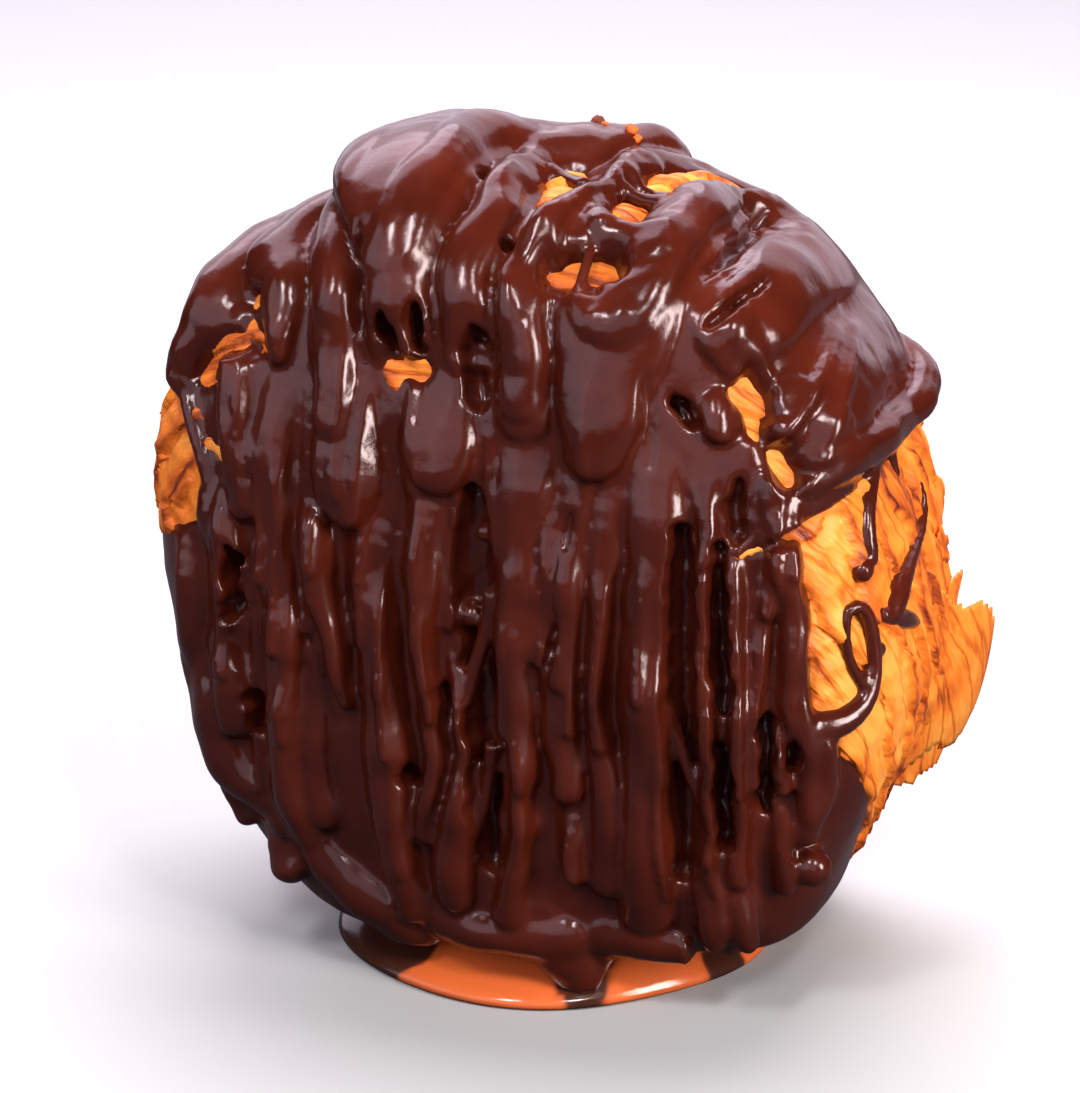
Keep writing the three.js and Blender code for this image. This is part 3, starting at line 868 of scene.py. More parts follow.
def rim_relief(points):
    """Sheets of the rim that overlap like shingles: their rise, and a turn that counts them."""
    fibres = fibre_places(points)
    turn = (fibres[:, 0] + lumps(points, SHEET_DRIFT)) / SHEET_PITCH
    crinkle = 1 - 2 * np.abs(lumps(points, CRINKLES))
    rise = SHEET_STEP * (1 - saw(turn) ** SHEET_CURVE) + CRINKLE_RISE * crinkle
    return rise + lumps(fibres, FIBRES) + lumps(points, RIM_LUMPS), turn


def rim_bake(points, turn):
    """How brown the rim is, with some painted shade under the broad sheet's lip, where turn counts its
    sheets.
    """
    degrees = np.degrees(drum_shares(points)[0])
    x, y, _ = points.T
    bake_and_shade = RIM_BAKE + FAR_BAKE * smooth_step(y, *FAR_Y) + LEFT_BAKE * smooth_step(-x, *LEFT_X)
    bake_and_shade += EDGE_BAKE * (1 - smooth_step(saw(turn), *EDGE_SHARES))
    bake_and_shade += SHEET_BAKE * np.sin(SHEET_CHANGE * np.floor(turn))
    # toasted crust beside the broad sheet, partly painted shade under its lip
    bake_and_shade += TOAST_AND_LIP_SHADE * bell(degrees - TOAST_AND_SHADE_ANGLE, TOAST_AND_SHADE_SPREAD) * bell(y - TOAST_AND_SHADE_Y, TOAST_AND_SHADE_DEPTH)
    return bake_and_shade + lumps(points, BAKE_PATCHES)


def face_relief(points):
    """The spiral of a face, of rounded turns with many thin layers: its rise and how brown it is."""
    angle, out, _ = drum_shares(points)
    radius = out * rim_radius(angle)
    turn = radius / COIL_PITCH - angle / (2 * math.pi) + lumps(points, COIL_DRIFT)
    coil = np.sin(math.pi * saw(turn)) ** COIL_ROUNDING
    fine = np.cos(2 * math.pi * turn * COIL_PITCH / FINE_PITCH + lumps(points, FINE_DRIFT))
    fine *= 1 - smooth_step(back_drips(points)[0], *FINE_FADE)
    rise = COIL_DEPTH * (coil - 1) + FINE_RISE * fine + lumps(points, FACE_LUMPS)
    return rise, FACE_BAKE + COIL_BAKE * coil + FINE_BAKE * fine


def pastry_piece(material):
    block = drum_block(PASTRY_CUTS)
    points = block_points(block)
    covered = inside_coat(points)
    out = drum_shares(points)[1]
    on_rim = np.maximum(smooth_step(out**RIM_POWER, *RIM_SHARES), points[:, 1] < 0)
    shingles, turn = rim_relief(points)
    spiral, face_bake = face_relief(points)
    hidden = smooth_step(np.minimum(covered, inside_windows(points)), *HIDDEN_RUN)
    relief = (on_rim * shingles + (1 - on_rim) * spiral) * (1 - hidden) - UNDER_COAT * hidden
    relief += most_of(CRUST_RIDGES, points, RIDGE_POWER) - WINDOW_SINK * smooth_step(covered, *SINK_RUN)
    relief -= gash(points, GASH_WIDENING) + hollow(points)
    shaped = points + drum_normals(points) * relief[:, None]
    shaped[:, 2] = np.maximum(shaped[:, 2], 0)
    set_points(block, shaped)
    mesh = to_mesh(block, "croissant_crust")
    bake_and_shade = on_rim * rim_bake(points, turn) + (1 - on_rim) * face_bake
    bake_and_shade += WINDOW_BAKE * smooth_step(covered, *BAKE_RUN)
    # darker crust low down inside the coat's edge
    bake_and_shade += (1 - smooth_step(points[:, 2], *DARKER_FOOT_HEIGHTS)) * smooth_step(covered, *DARKER_FOOT_RUN)
    add_layer(mesh, "bake_and_shade", np.clip(bake_and_shade, 0, 1))
    add_layer(mesh, "grain", grain_places(points, on_rim))
    finish_piece("croissant_crust", mesh, material, "croissant_roll")


# Loose flakes and crumbs of the crust

FLAKE_CUTS = (26, 16)
FLAKE_THICKNESS = 0.35
FLAKE_RADIUS = 50.0  # about the rim's radius
FLAKE_POWERS = (3, 4)  # how square a flake is at its ends and at its lifted edge
FLAKE_RAGGED = [(0.5, 0.6, 0.0), (0.2, 0.22, 5.0)]
FLAKE_END = 0.75  # raggedness past which a flake is torn away
FLAKE_CURL = [(0.6, 0.8, 9.0)]
FLAKE_CURVE = 1.4
FLAKE_ROOT = 0.5  # how deep its other edge is sunk
FLAKE_BAKE = 0.3
FLAKE_PATCHES = [(0.3, 5.0, 21.5)]
# Flakes that stand out: angle, y, half-length, half-width, turn from the rim's edge and lift
BIG_FLAKES = [
    (106, 13, 11.5, 8.4, 0, 8.8), (99, 19, 6, 4.6, 10, 4.6), (117, 12, 6.5, 6, -10, 6),
    (97, 8, 6, 5, 10, 2.6), (80, 18, 4, 3.4, 20, 2.4), (88, 10, 6, 4.6, 24, 1.8), (66, 20, 4, 3, 10, 2.2),
    (-66, -20, 4, 2.6, 30, 1.6), (-72, -24, 3, 2, 10, 1.4),
]
BIG_FLAKE_NOISE = 40.3
# Small flakes: ranges of the same measures, where the turn is from the fibres
FLAKE_SEED = 11
FLAKE_COUNT = 70
SMALL_FLAKES = [(-175, 175), (-24, 23), (2.2, 4.6), (1.2, 2.6), (-0.4, 0.4), (0.4, 1.0)]
SMALL_FLAKE_NOISE = 100.7
FLAKE_TURN = math.radians(61)  # how far fibres of the rim are turned from its edge
FLAKE_LOWEST = 8.0  # no small flake lies lower than this
FLAKE_CLEAR = -2.5  # or further inside the coat's edge than this
# Crumbs that lie on the pour: place, radius
CRUMBS = [(top(1, 13), 0.8), (top(2.2, 12), 0.5), (top(5.6, 12), 1.0), (top(6.8, 11), 0.6)]
CRUMB_ROUGH = [(0.5, 0.9, 31.3), (0.3, 0.4, 33.1)]
CRUMB_SINK = 0.2  # as a share of its radius
CRUMB_BAKE = 0.66


def flake_sheet(degrees, y, half_length, half_width, turn, lift, seed):
    """A thin ragged sheet, sunk into the rim along one edge and lifted along the other."""
    sheet = bmesh.new()
    bmesh.ops.create_grid(sheet, x_segments=FLAKE_CUTS[0], y_segments=FLAKE_CUTS[1], size=1)
    flat = np.array([v.co for v in sheet.verts])
    u, v = flat[:, 0], flat[:, 1]
    end_power, edge_power = FLAKE_POWERS
    ragged = np.abs(u) ** end_power + np.maximum(v, 0) ** edge_power + lumps(flat, FLAKE_RAGGED, seed)
    lost = ragged > FLAKE_END
    gone = [f for f in sheet.faces if any(lost[w.index] for w in f.verts)]
    round_rim = u * half_length * math.cos(turn) - v * half_width * math.sin(turn)
    along = u * half_length * math.sin(turn) + v * half_width * math.cos(turn)
    places = rim_points(math.radians(degrees) + round_rim / FLAKE_RADIUS, y + along)
    share = (v + 1) / 2
    rise = (lift + lumps(flat, FLAKE_CURL, seed)) * share**FLAKE_CURVE - FLAKE_ROOT * (1 - share)
    places += drum_normals(places) * (rise - hollow(places))[:, None]
    set_points(sheet, places)
    bmesh.ops.delete(sheet, geom=gone, context="FACES")
    bmesh.ops.solidify(sheet, geom=sheet.faces[:], thickness=FLAKE_THICKNESS)
    bmesh.ops.recalc_face_normals(sheet, faces=sheet.faces[:])
    return sheet


def join_block(block, part):
    """Adds a part's faces to a block."""
    mesh = bpy.data.meshes.new("part")
    part.to_mesh(mesh)
    part.free()
    block.from_mesh(mesh)
    bpy.data.meshes.remove(mesh)


def crumb(place, radius):
    """A rough lump of crust that lies on the coat."""
    lump = bmesh.new()
    bmesh.ops.create_icosphere(lump, subdivisions=BALL_CUTS, radius=radius)
    ball = np.array([v.co for v in lump.verts])
    thickness = coat_shape(place[None])[0]
    middle = place + drum_normals(place) * (thickness - CRUMB_SINK * radius)
    rough = 1 + lumps((ball + place) / radius, CRUMB_ROUGH)
    set_points(lump, middle + ball * rough[:, None])
    return lump


def flakes_piece(material):
    pick = random.Random(FLAKE_SEED)
    block = bmesh.new()
    for number, (degrees, y, *sizes, turn, lift) in enumerate(BIG_FLAKES):
        seed = BIG_FLAKE_NOISE + number
        join_block(block, flake_sheet(degrees, y, *sizes, math.radians(turn), lift, seed))
    for number in range(FLAKE_COUNT):
        degrees, y, *sizes, turn, lift = [pick.uniform(*ends) for ends in SMALL_FLAKES]
        place = side(degrees, y)
        if inside_coat(place[None])[0] < FLAKE_CLEAR and place[2] > FLAKE_LOWEST:
            seed = SMALL_FLAKE_NOISE + number
            join_block(block, flake_sheet(degrees, y, *sizes, FLAKE_TURN + turn, lift, seed))
    sheets = len(block.verts)
    for place, radius in CRUMBS:
        join_block(block, crumb(place, radius))
    mesh = to_mesh(block, "crust_flakes")
    points = mesh_points(mesh)
    bake_and_shade = FLAKE_BAKE + lumps(points, FLAKE_PATCHES)
    bake_and_shade[sheets:] = CRUMB_BAKE
    add_layer(mesh, "bake_and_shade", bake_and_shade)
    add_layer(mesh, "grain", fibre_places(points))
    finish_piece("crust_flakes", mesh, material, None)


# Chocolate coat

# Free strands of chocolate: each station is a place on the drum, a radius and a lift
STRANDS = laid(side, [
    # Drip down the right rim
    [(60, -6.5, 2, 0.6), (64.5, -10.5, 1.4, 0.8), (68.5, -15.6, 1.1, 0.8),
     (72, -17.2, 1.3, 0.8), (75, -17.6, 1.7, 0.7), (77, -17.4, 1.0, 0.8)],
    [(62, -2, 1.6, 0.5), (66, -3, 1.0, 0.7), (69, -2.6, 0.7, 0.7)],
    # Loop on the right rim and its blob
    [(82.1, -22.6, 0.8, 0.9), (80.8, -21.4, 0.9, 1.1), (82, -20, 1.0, 1.2),
     (86, -19.4, 1.1, 1.2), (91, -19.5, 1.2, 1.2), (95.5, -20.2, 1.3, 1.2),
     (98.2, -22.4, 1.8, 1), (100.4, -25.2, 2.5, 0.8), (100.4, -28, 2.3, 0.6)],
    [(82.1, -22.6, 0.8, 0.9), (86.4, -23.3, 0.75, 0.9), (90.8, -23.3, 0.8, 0.9),
     (94.6, -21, 1.0, 1)],
    # Splash with its thin string
    [(72.6, 6, 0.8, 0.6), (76, 7.4, 0.7, 0.7), (78.4, 4.6, 0.7, 0.8), (80, -1, 0.9, 0.8),
     (81.2, -6, 1.2, 0.8), (82.4, -10.4, 1.6, 0.8), (84.4, -13.2, 2.1, 0.7),
     (86, -14.6, 1.6, 0.7)],
    [(84.8, -17, 1.0, 0.7), (86.8, -12.6, 1.8, 0.6), (88.8, -8, 1.5, 0.6),
     (90.6, -4.6, 0.9, 0.6)],
    # Thin drip at the left
    [(-55, -22, 1.4, 0.6), (-58, -25.5, 1.2, 0.8), (-63, -28, 1.0, 0.8),
     (-67, -28.6, 0.9, 0.8)],
])
# Thin strands over the gaps in the pour
STRANDS += laid(top, [
    [(0, -3, 1.2, 2.4), (3, -4.6, 0.8, 1.4), (6, -7, 1.2, 2.4)],
    [(10.4, -5, 1.2, 2.6), (13, -6.4, 0.8, 1.6), (15.6, -6, 1.3, 3)],
    [(11.6, -20, 0.8, 1.8), (11.8, -22.6, 0.7, 1.6), (11.6, -25.4, 0.8, 1.4)],
])
STRANDS += laid(front, [
    [(-10.2, 95, 0.8, 1.6), (-9.6, 91, 0.8, 1.6), (-9.4, 88, 0.9, 1.2)],
    [(3, 59, 1.5, 1.6), (2.4, 55, 1.2, 1.2), (1, 51, 1.0, 0.6), (-0.4, 47, 1.1, 0.4),
     (-1.6, 43, 1.5, 1)],
    [(2.6, 38, 1.2, 1.2), (1.6, 34, 0.9, 0.4), (1.2, 29, 1.0, 0.2), (-0.6, 25, 1.3, 1)],
    [(25.6, 46, 1.2, 1.2), (27, 41.5, 0.9, 0.6), (28.6, 36.5, 0.9, 0.6), (30.4, 33, 1.2, 1)],
    [(30, 49, 1, 1.4), (31.6, 45, 0.8, 0.8), (33.6, 41.6, 0.9, 1.2)],
])
# Drops: place on the drum, radius and lift
DROPS = [
    (front(-28.5, 21.5), 3.4, -0.4),
    (side(60.5, -15), 1.3, 0.6), (side(62.5, -12.5), 1.2, 0.5), (side(63, -16), 1.2, 0.4),
    (side(89.5, -18.3), 1.1, 0.9), (side(77, -19.2), 1.6, 0.6),
    (front(43, 22.6), 2.6, 0.2), (front(-0.8, 54.6), 1.7, -0.6), (front(1.2, 66), 1.3, -0.4),
]
STRAND_ROUNDNESS = 3
COAT_LOWEST = 0.4
COAT_SMOOTHING = {"factor": 0.5, "iterations": 2}
HIDDEN_FACTOR = 10  # how strongly the unseen side is preferred where faces are taken out


def lifted(stations):
    """A strand's line off the drum: places and radii."""
    places, radii, lifts = course(stations)
    return places + drum_normals(places) * lifts[:, None], radii


def strand_mesh():
    """Round strands along their lines, closed at both ends."""
    line = bpy.data.curves.new("strands", "CURVE")
    line.dimensions = "3D"
    line.bevel_depth = 1.0
    line.bevel_resolution = STRAND_ROUNDNESS
    line.use_fill_caps = True
    for stations in STRANDS:
        places, radii = lifted(stations)
        spline = line.splines.new("POLY")
        spline.points.add(len(places) - 1)
        for knot, place, radius in zip(spline.points, places.tolist(), radii.tolist()):
            knot.co = (*place, 1)
            knot.radius = radius
    holder = bpy.data.objects.new("strands", line)
    mesh = bpy.data.meshes.new_from_object(holder)
    bpy.data.objects.remove(holder)
    return mesh


def add_drops(block):
    for place, radius, lift in DROPS:
        middle = place + drum_normals(place) * lift
        spot = Matrix.Translation(middle.tolist())
        bmesh.ops.create_icosphere(block, subdivisions=BALL_CUTS, radius=radius, matrix=spot)


def coat_shell():
    """The coat as a closed skin over the drum, before its strands are joined to it."""
    block = drum_block(COAT_CUTS)
    points = block_points(block)
    thickness, sag, bare = coat_shape(points)
    cracked = gash(points)
    normals = drum_normals(points)
    outside = points + normals * thickness[:, None]
    outside[:, 2] -= sag
    depth = COAT_INSIDE - cracked - hollow(points) - BACK_SINK * on_back(points)
    inside = points + normals * depth[:, None]
    set_points(block, points)
    order = block.verts.layers.int.new("order")
    for number, vert in enumerate(block.verts):
        vert[order] = number
    uncovered = [f for f in block.faces if all(bare[v.index] for v in f.verts)]
    bmesh.ops.delete(block, geom=uncovered, context="FACES")
    grown = bmesh.ops.extrude_face_region(block, geom=block.faces[:])["geom"]
    outer = {g for g in grown if isinstance(g, bmesh.types.BMVert)}
    for vert in block.verts:
        places = outside if vert in outer else inside
        vert.co = places[vert[order]]
    return block


def thinned(mesh):
    """The coat with few faces on its unseen inner side, and not too many in all."""
    points = mesh_points(mesh)
    hidden = np.flatnonzero(height_off_drum(points) + hollow(points) < HIDDEN_DEPTH)
    kept = 1 - (1 - HIDDEN_KEPT) * len(hidden) / len(points)
    coarser = ("DECIMATE", {"ratio": kept, "vertex_group": "group", "vertex_group_factor": HIDDEN_FACTOR})
    mesh = baked(mesh, [coarser], hidden)
    triangles = sum(len(face.vertices) - 2 for face in mesh.polygons)
    return baked(mesh, [("DECIMATE", {"ratio": min(1.0, COAT_TRIANGLES / triangles)})])


def coat_piece(material):
    block = coat_shell()
    block.from_mesh(strand_mesh())
    add_drops(block)
    rough = to_mesh(block, "coat_rough")
    skin = ("REMESH", {"mode": "VOXEL", "voxel_size": COAT_VOXEL})
    even = ("SMOOTH", COAT_SMOOTHING)
    mesh = thinned(baked(rough, [skin, even]))
    points = mesh_points(mesh)
    points[:, 2] = np.maximum(points[:, 2], COAT_LOWEST)
    set_mesh_points(mesh, points)
    finish_piece("chocolate_pour", mesh, material, "chocolate_coat")


# Sauce pool

POOL_CENTRE = (0.4, -3.0)
POOL_HALF_WIDTH = 30.2
POOL_HALF_DEPTH = 29.0
POOL_HEIGHT = 2.6
POOL_STEPS = 160
POOL_CLIMB = 3.2  # how far the sauce climbs the roll
POOL_CLIMB_RUN = 2.4
# Waves of its edge: how many, where they start and how high they are
POOL_WAVES = [(3, 0.6, 0.015), (5, 2.0, 0.015)]
# Section through its edge, as shares of the way out and up
POOL_PROFILE = [
    (0.0, 0.0), (0.5, 0.0), (0.96, 0.0), (0.988, 0.08), (1.0, 0.25), (0.997, 0.45), (0.98, 0.65),
    (0.95, 0.8), (0.91, 0.9), (0.88, 0.94), (0.85, 0.96), (0.82, 0.98), (0.79, 0.99), (0.76, 1.0),
    (0.73, 1.0), (0.7, 1.0), (0.66, 1.0), (0.6, 1.0), (0.4, 1.0), (0.0, 1.0),
]
POOL_JOIN = 1e-5
# Dark chocolate that has run into the pool: x, y and half-width
POOL_DARK = [
    (-17.5, -21, 9.6), (-24, -10, 9), (11.4, -23, 4.6), (12.8, -26.4, 3.4), (14.4, -29.4, 2),
    (28, -12, 4),
]
DARK_RAGGED = [(1.2, 6.0, 2.2)]
DARK_SOFTNESS = 0.6  # how far the dark fades at its edge


def pool_piece(material):
    block = bmesh.new()
    verts = [block.verts.new((out, 0, up)) for out, up in POOL_PROFILE]
    edges = [block.edges.new(pair) for pair in zip(verts, verts[1:])]
    bmesh.ops.spin(
        block, geom=verts + edges, cent=(0, 0, 0), axis=(0, 0, 1), angle=2 * math.pi,
        steps=POOL_STEPS, use_merge=True,
    )
    bmesh.ops.remove_doubles(block, verts=block.verts[:], dist=POOL_JOIN)
    mesh = to_mesh(block, "sauce_pool_sheet")
    points = mesh_points(mesh)
    turn = np.arctan2(points[:, 1], points[:, 0])
    wide = 1 + sum(share * np.sin(count * turn + start) for count, start, share in POOL_WAVES)
    points[:, 0] = POOL_CENTRE[0] + points[:, 0] * POOL_HALF_WIDTH * wide
    points[:, 1] = POOL_CENTRE[1] + points[:, 1] * POOL_HALF_DEPTH * wide
    up = points[:, 2].copy()
    points[:, 2] *= POOL_HEIGHT
    away = np.maximum(height_off_drum(points) + hollow(points), 0)
    points[:, 2] += up**2 * POOL_CLIMB * bell(away, POOL_CLIMB_RUN)
    set_mesh_points(mesh, points)
    flat = points * np.array([1, 1, 0])
    gaps = [np.hypot(points[:, 0] - x, points[:, 1] - y) - size for x, y, size in POOL_DARK]
    inside = lumps(flat, DARK_RAGGED) - np.min(gaps, axis=0)
    add_layer(mesh, "dark", smooth_step(inside, -DARK_SOFTNESS, DARK_SOFTNESS))
    finish_piece("sauce_pool_sheet", mesh, material, "sauce_pool")


# Materials

# Colours at places from 0 to 1, from light to dark crust and from pale to dark sauce
CRUST_COLOURS = [
    (0.0, (1.0, 0.38, 0.064)), (0.15, (0.98, 0.285, 0.032)), (0.32, (0.92, 0.215, 0.02)),
    (0.52, (0.7, 0.135, 0.015)), (0.76, (0.34, 0.052, 0.01)), (1.0, (0.1, 0.018, 0.008)),
]
CHOCOLATE_COLOURS = [(0.3, (0.044, 0.0056, 0.0024)), (0.7, (0.076, 0.0098, 0.0038))]
CHOCOLATE_SHEEN = (1.0, 0.86, 0.91, 1)
SAUCE_COLOURS = [
    (0.0, (0.7, 0.132, 0.032)), (0.3, (0.58, 0.104, 0.025)), (0.7, (0.085, 0.022, 0.012)),
    (1.0, (0.05, 0.014, 0.008)),
]
# Scales of the broad and the fine patches of a surface
GRAIN_SCALES = (0.25, 2.0)
CRUST_SCALES = (90.0, 900.0)
CHOCOLATE_SCALES = (90.0, 520.0)
SAUCE_SCALES = (60.0, 500.0)
BROAD_DETAIL = 3.0
FINE_DETAIL = 6.0
PATCH_ROUGHNESS = 0.55
# How far patches change the place in the colours
FIBRE_SHADE = (-0.28, 0.26)
PATCH_SHADE = (-0.36, 0.3)
BROAD_SHADE = (-0.15, 0.15)
SCALE_SHADE = (0.3, -0.05)
SAUCE_SHADE = (-0.1, 0.1)
CRUST_ROUGHNESS = (0.3, 0.55)
CHOCOLATE_ROUGHNESS = (0.12, 0.27)
SAUCE_ROUGHNESS = (0.1, 0.22)
CRUST_SPECULAR = 0.35
CHOCOLATE_SPECULAR = 0.5
# Bumps: strength and height in metres
CRUST_BUMP = (0.55, 0.0005)
CHOCOLATE_BUMP = (0.16, 0.0004)
SAUCE_BUMP = (0.06, 0.0004)
SPECK_HEIGHT = 0.3
# Thin scales that the crust's layers break into
FLAKED_SCALE = 0.22
FLAKED_EDGE = 0.07
FLAKED_DRIFT = (2.4, 2.4, 2.4)
FLAKED_DRIFT_SCALE = 0.5


def fill_inputs(tree, node, inputs):
    """Sets inputs of a node: each is a plain value or another node's socket."""
    for name, value in inputs.items():
        if isinstance(value, bpy.types.NodeSocket):
            tree.links.new(value, node.inputs[name])
        else:
            node.inputs[name].default_value = value


def add_node(tree, kind, inputs=None, **settings):
    node = tree.nodes.new(kind)
    for name, value in settings.items():
        setattr(node, name, value)
    fill_inputs(tree, node, inputs or {})
    return node


def add_math(tree, operation, *terms):
    return add_node(tree, "ShaderNodeMath", dict(enumerate(terms)), operation=operation).outputs[0]


def add_ramp(tree, value, stops):
    """Colours along a value from 0 to 1."""
    ramp = add_node(tree, "ShaderNodeValToRGB", {"Fac": value})
    marks = ramp.color_ramp.elements
    while len(marks) < len(stops):
        marks.new(0.5)
    for mark, (place, colour) in zip(marks, stops):
        mark.position = place
        mark.color = (*colour, 1)
    return ramp.outputs["Color"]


def new_material(name):
    material = bpy.data.materials.new(name)
    material.use_nodes = True
    tree = material.node_tree
    tree.nodes.clear()
    shader = add_node(tree, "ShaderNodeBsdfPrincipled")
    output = add_node(tree, "ShaderNodeOutputMaterial")
    tree.links.new(shader.outputs["BSDF"], output.inputs["Surface"])
    return material, tree, shader


def mottle_group():
    """Soft patches over a surface: a broad mask and a fine one."""
    group = bpy.data.node_groups.new("mottle", "ShaderNodeTree")
    for name in ("Broad Scale", "Fine Scale"):
        group.interface.new_socket(name, in_out="INPUT", socket_type="NodeSocketFloat")
    group.interface.new_socket("Vector", in_out="INPUT", socket_type="NodeSocketVector")
    for name in ("Broad", "Fine"):
        group.interface.new_socket(name, in_out="OUTPUT", socket_type="NodeSocketFloat")
    given = group.nodes.new("NodeGroupInput")
    result = group.nodes.new("NodeGroupOutput")
    for name, detail in (("Broad", BROAD_DETAIL), ("Fine", FINE_DETAIL)):
        patches = add_node(group, "ShaderNodeTexNoise", {
            "Vector": given.outputs["Vector"], "Scale": given.outputs[name + " Scale"],
            "Detail": detail, "Roughness": PATCH_ROUGHNESS,
        })
        group.links.new(patches.outputs["Fac"], result.inputs[name])
    return group


def add_mottle(tree, group, vector, scales):
    inputs = {"Vector": vector, "Broad Scale": scales[0], "Fine Scale": scales[1]}
    node = add_node(tree, "ShaderNodeGroup", inputs, node_tree=group)
    return node.outputs["Broad"], node.outputs["Fine"]


def object_place(tree):
    return add_node(tree, "ShaderNodeTexCoord").outputs["Object"]


def attribute(tree, name):
    return add_node(tree, "ShaderNodeAttribute", attribute_name=name)


def add_bump(tree, height, strength, distance):
    inputs = {"Height": height, "Strength": strength, "Distance": distance}
    return add_node(tree, "ShaderNodeBump", inputs).outputs["Normal"]


def spread_over(tree, value, ends):
    """A value from 0 to 1 spread between two others."""
    inputs = {"Value": value, "To Min": ends[0], "To Max": ends[1]}
    return add_node(tree, "ShaderNodeMapRange", inputs).outputs[0]


def add_scales(tree, vector):
    """Edges of the thin scales that baked layers break into: 0 at an edge, 1 inside a scale."""
    inputs = {"Vector": vector, "Scale": FLAKED_DRIFT_SCALE, "Detail": BROAD_DETAIL}
    drift = add_node(tree, "ShaderNodeTexNoise", inputs).outputs["Color"]
    inputs = {0: drift, 1: FLAKED_DRIFT, 2: vector}
    moved = add_node(tree, "ShaderNodeVectorMath", inputs, operation="MULTIPLY_ADD").outputs["Vector"]
    inputs = {"Vector": moved, "Scale": FLAKED_SCALE}
    cells = add_node(tree, "ShaderNodeTexVoronoi", inputs, feature="DISTANCE_TO_EDGE")
    inputs = {"Value": cells.outputs["Distance"], "From Min": 0.0, "From Max": FLAKED_EDGE}
    return add_node(tree, "ShaderNodeMapRange", inputs).outputs[0]


def crust_material(group):
    material, tree, shader = new_material("baked_crust")
    grain = attribute(tree, "grain").outputs["Vector"]
    broad, fibre = add_mottle(tree, group, grain, GRAIN_SCALES)
    patches, specks = add_mottle(tree, group, object_place(tree), CRUST_SCALES)
    scale = add_scales(tree, grain)
    # how brown the crust is, with some painted shade under the broad sheet's lip
    shade = attribute(tree, "bake_and_shade").outputs["Fac"]
    shades = [(fibre, FIBRE_SHADE), (patches, PATCH_SHADE), (broad, BROAD_SHADE), (scale, SCALE_SHADE)]
    for value, ends in shades:
        shade = add_math(tree, "ADD", shade, spread_over(tree, value, ends))
    layers = add_math(tree, "ADD", fibre, scale)
    height = add_math(tree, "MULTIPLY_ADD", specks, SPECK_HEIGHT, layers)
    fill_inputs(tree, shader, {
        "Base Color": add_ramp(tree, shade, CRUST_COLOURS),
        "Roughness": spread_over(tree, fibre, CRUST_ROUGHNESS),
        "Specular IOR Level": CRUST_SPECULAR,
        "Normal": add_bump(tree, height, *CRUST_BUMP),
    })
    return material


def chocolate_material(group):
    material, tree, shader = new_material("poured_chocolate")
    patches, fine = add_mottle(tree, group, object_place(tree), CHOCOLATE_SCALES)
    fill_inputs(tree, shader, {
        "Base Color": add_ramp(tree, patches, CHOCOLATE_COLOURS),
        "Roughness": spread_over(tree, patches, CHOCOLATE_ROUGHNESS),
        "Specular IOR Level": CHOCOLATE_SPECULAR,
        "Specular Tint": CHOCOLATE_SHEEN,
        "Normal": add_bump(tree, fine, *CHOCOLATE_BUMP),
    })
    return material


def sauce_material(group):
    material, tree, shader = new_material("pale_sauce")
    patches, fine = add_mottle(tree, group, object_place(tree), SAUCE_SCALES)
    dark = attribute(tree, "dark").outputs["Fac"]
    shade = add_math(tree, "ADD", dark, spread_over(tree, patches, SAUCE_SHADE))
    fill_inputs(tree, shader, {
        "Base Color": add_ramp(tree, shade, SAUCE_COLOURS),
        "Roughness": spread_over(tree, fine, SAUCE_ROUGHNESS),
        "Normal": add_bump(tree, fine, *SAUCE_BUMP),
    })
    return material


# Stage

CAMERA_AZIMUTH = 19.0
CAMERA_ELEVATION = 18.15
CAMERA_DISTANCE = 494.0
CAMERA_TARGET = (1.1, 0.0, 56.9)
PHOTO_WIDTH = 1080
FOCAL_PIXELS = 3640
TARGET_OFFSET_PIXELS = (24.8, 18.5)  # how far right of and above the middle the target shows
SENSOR = 36.0
NEAREST = 0.01
FLOOR_SIZE = 4
FLOOR_ROUGHNESS = 0.85
FLOOR_COLOUR = (0.46, 0.455, 0.47)
MIRRORED_FLOOR = (0.04, 0.037, 0.044)  # painted reflection: the floor shows this darker colour in the gloss of the chocolate
ROOM_COLOUR = (0.88, 0.86, 1.0, 1)
ROOM_STRENGTH = 0.025


def to_frame(place):
    """A place of the roll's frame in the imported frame, in metres."""
    return (Vector(place) + Vector(ROLL_SHIFT)) * MM


def direction(azimuth, elevation):
    a = math.radians(azimuth)
    e = math.radians(elevation)
    return Vector((math.sin(a) * math.cos(e), -math.cos(a) * math.cos(e), math.sin(e)))


def make_camera():
    data = bpy.data.cameras.new("camera")
    data.sensor_fit = "HORIZONTAL"
    data.sensor_width = SENSOR
    data.lens = FOCAL_PIXELS / PHOTO_WIDTH * SENSOR
    data.shift_x = -TARGET_OFFSET_PIXELS[0] / PHOTO_WIDTH
    data.shift_y = -TARGET_OFFSET_PIXELS[1] / PHOTO_WIDTH
    data.clip_start = NEAREST
    camera = bpy.data.objects.new("camera", data)
    away = direction(CAMERA_AZIMUTH, CAMERA_ELEVATION)
    camera.location = to_frame(CAMERA_TARGET) + away * CAMERA_DISTANCE * MM
    camera.rotation_euler = (-away).to_track_quat("-Z", "Y").to_euler()
    bpy.context.scene.collection.objects.link(camera)
    bpy.context.scene.camera = camera


ROLL_MIDDLE = to_frame((0, 0, AXIS_HEIGHT))


def around(azimuth, elevation, distance):
    """A place this far from the roll's middle, in metres."""
    return ROLL_MIDDLE + direction(azimuth, elevation) * distance


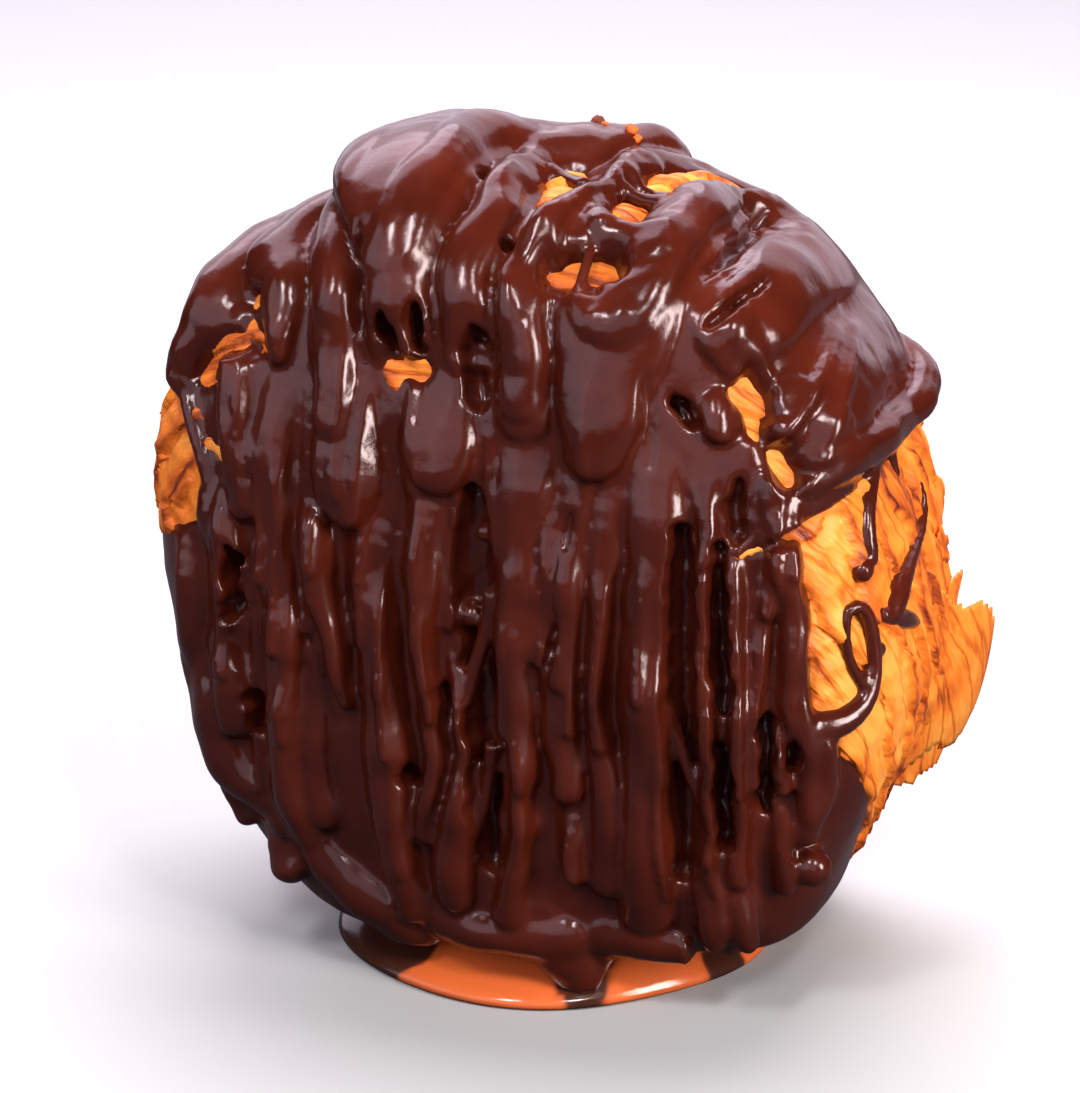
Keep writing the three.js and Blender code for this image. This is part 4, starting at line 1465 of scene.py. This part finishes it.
# Lights: name, place, aim, size, power, colour and whether gloss mirrors it
LIGHTS = [
    ("behind", (-0.35, 0.95, 0.46), (0, 0, 0.1), (1.8, 0.95), 5.8, (0.96, 0.86, 1.0), True),
    ("ceiling", (-0.45, 0.55, 0.85), (0, 0, 0.1), (1.0, 0.8), 6.8, (0.96, 0.86, 1.0), True),
    ("overhead", (0, 0.3, 0.85), (0, 0.1, 0), (0.7, 0.5), 12.5, (1.0, 0.97, 0.98), False),
    ("room_left", (-0.85, -0.9, 0.62), (0, 0, 0.45), (1.5, 1.0), 6.6, (0.94, 0.9, 1.0), True),
    ("room_front", (0.25, -1.25, 0.6), (0, 0, 0.45), (1.2, 0.85), 3.2, (0.96, 0.92, 1.0), True),
    ("right_key", around(72, 18, 0.8), ROLL_MIDDLE, (0.2, 0.4), 6.8, (1.0, 0.95, 0.88), True),
    ("front_right", around(40, 46, 0.7), ROLL_MIDDLE, (0.1, 0.15), 1.8, (1.0, 0.98, 0.95), True),
    ("front_left", around(-12, 50, 0.7), ROLL_MIDDLE, (0.1, 0.15), 1.8, (1.0, 0.98, 0.97), True),
]


def make_light(name, place, aim, size, power, colour, mirrored):
    """A soft box. One that isn't mirrored lights surfaces but leaves no highlight on them."""
    data = bpy.data.lights.new(name, "AREA")
    data.shape = "RECTANGLE"
    data.size, data.size_y = size
    data.energy = power
    data.color = colour
    light = bpy.data.objects.new(name, data)
    light.visible_glossy = mirrored
    light.location = place
    light.rotation_euler = (Vector(aim) - Vector(place)).to_track_quat("-Z", "Y").to_euler()
    bpy.context.scene.collection.objects.link(light)


def make_floor():
    block = bmesh.new()
    bmesh.ops.create_grid(block, x_segments=2, y_segments=2, size=FLOOR_SIZE)
    mesh = to_mesh(block, "floor")
    material, tree, shader = new_material("pale_floor")
    mirrored = add_node(tree, "ShaderNodeLightPath").outputs["Is Glossy Ray"]
    # painted reflection: glossy rays see the darker floor colour
    colour = add_ramp(tree, mirrored, [(0.0, FLOOR_COLOUR), (1.0, MIRRORED_FLOOR)])
    fill_inputs(tree, shader, {"Base Color": colour, "Roughness": FLOOR_ROUGHNESS})
    mesh.materials.append(material)
    floor = bpy.data.objects.new("floor", mesh)
    floor.visible_diffuse = False
    bpy.context.scene.collection.objects.link(floor)


def make_world():
    world = bpy.data.worlds.new("soft_room")
    world.use_nodes = True
    backdrop = world.node_tree.nodes["Background"]
    fill_inputs(world.node_tree, backdrop, {"Color": ROOM_COLOUR, "Strength": ROOM_STRENGTH})
    bpy.context.scene.world = world
    bpy.context.scene.view_settings.view_transform = "Standard"


make_camera()
make_floor()
make_world()
for light in LIGHTS:
    make_light(*light)

mottle = mottle_group()
crust = crust_material(mottle)
pastry_piece(crust)
flakes_piece(crust)
coat_piece(chocolate_material(mottle))
pool_piece(sauce_material(mottle))
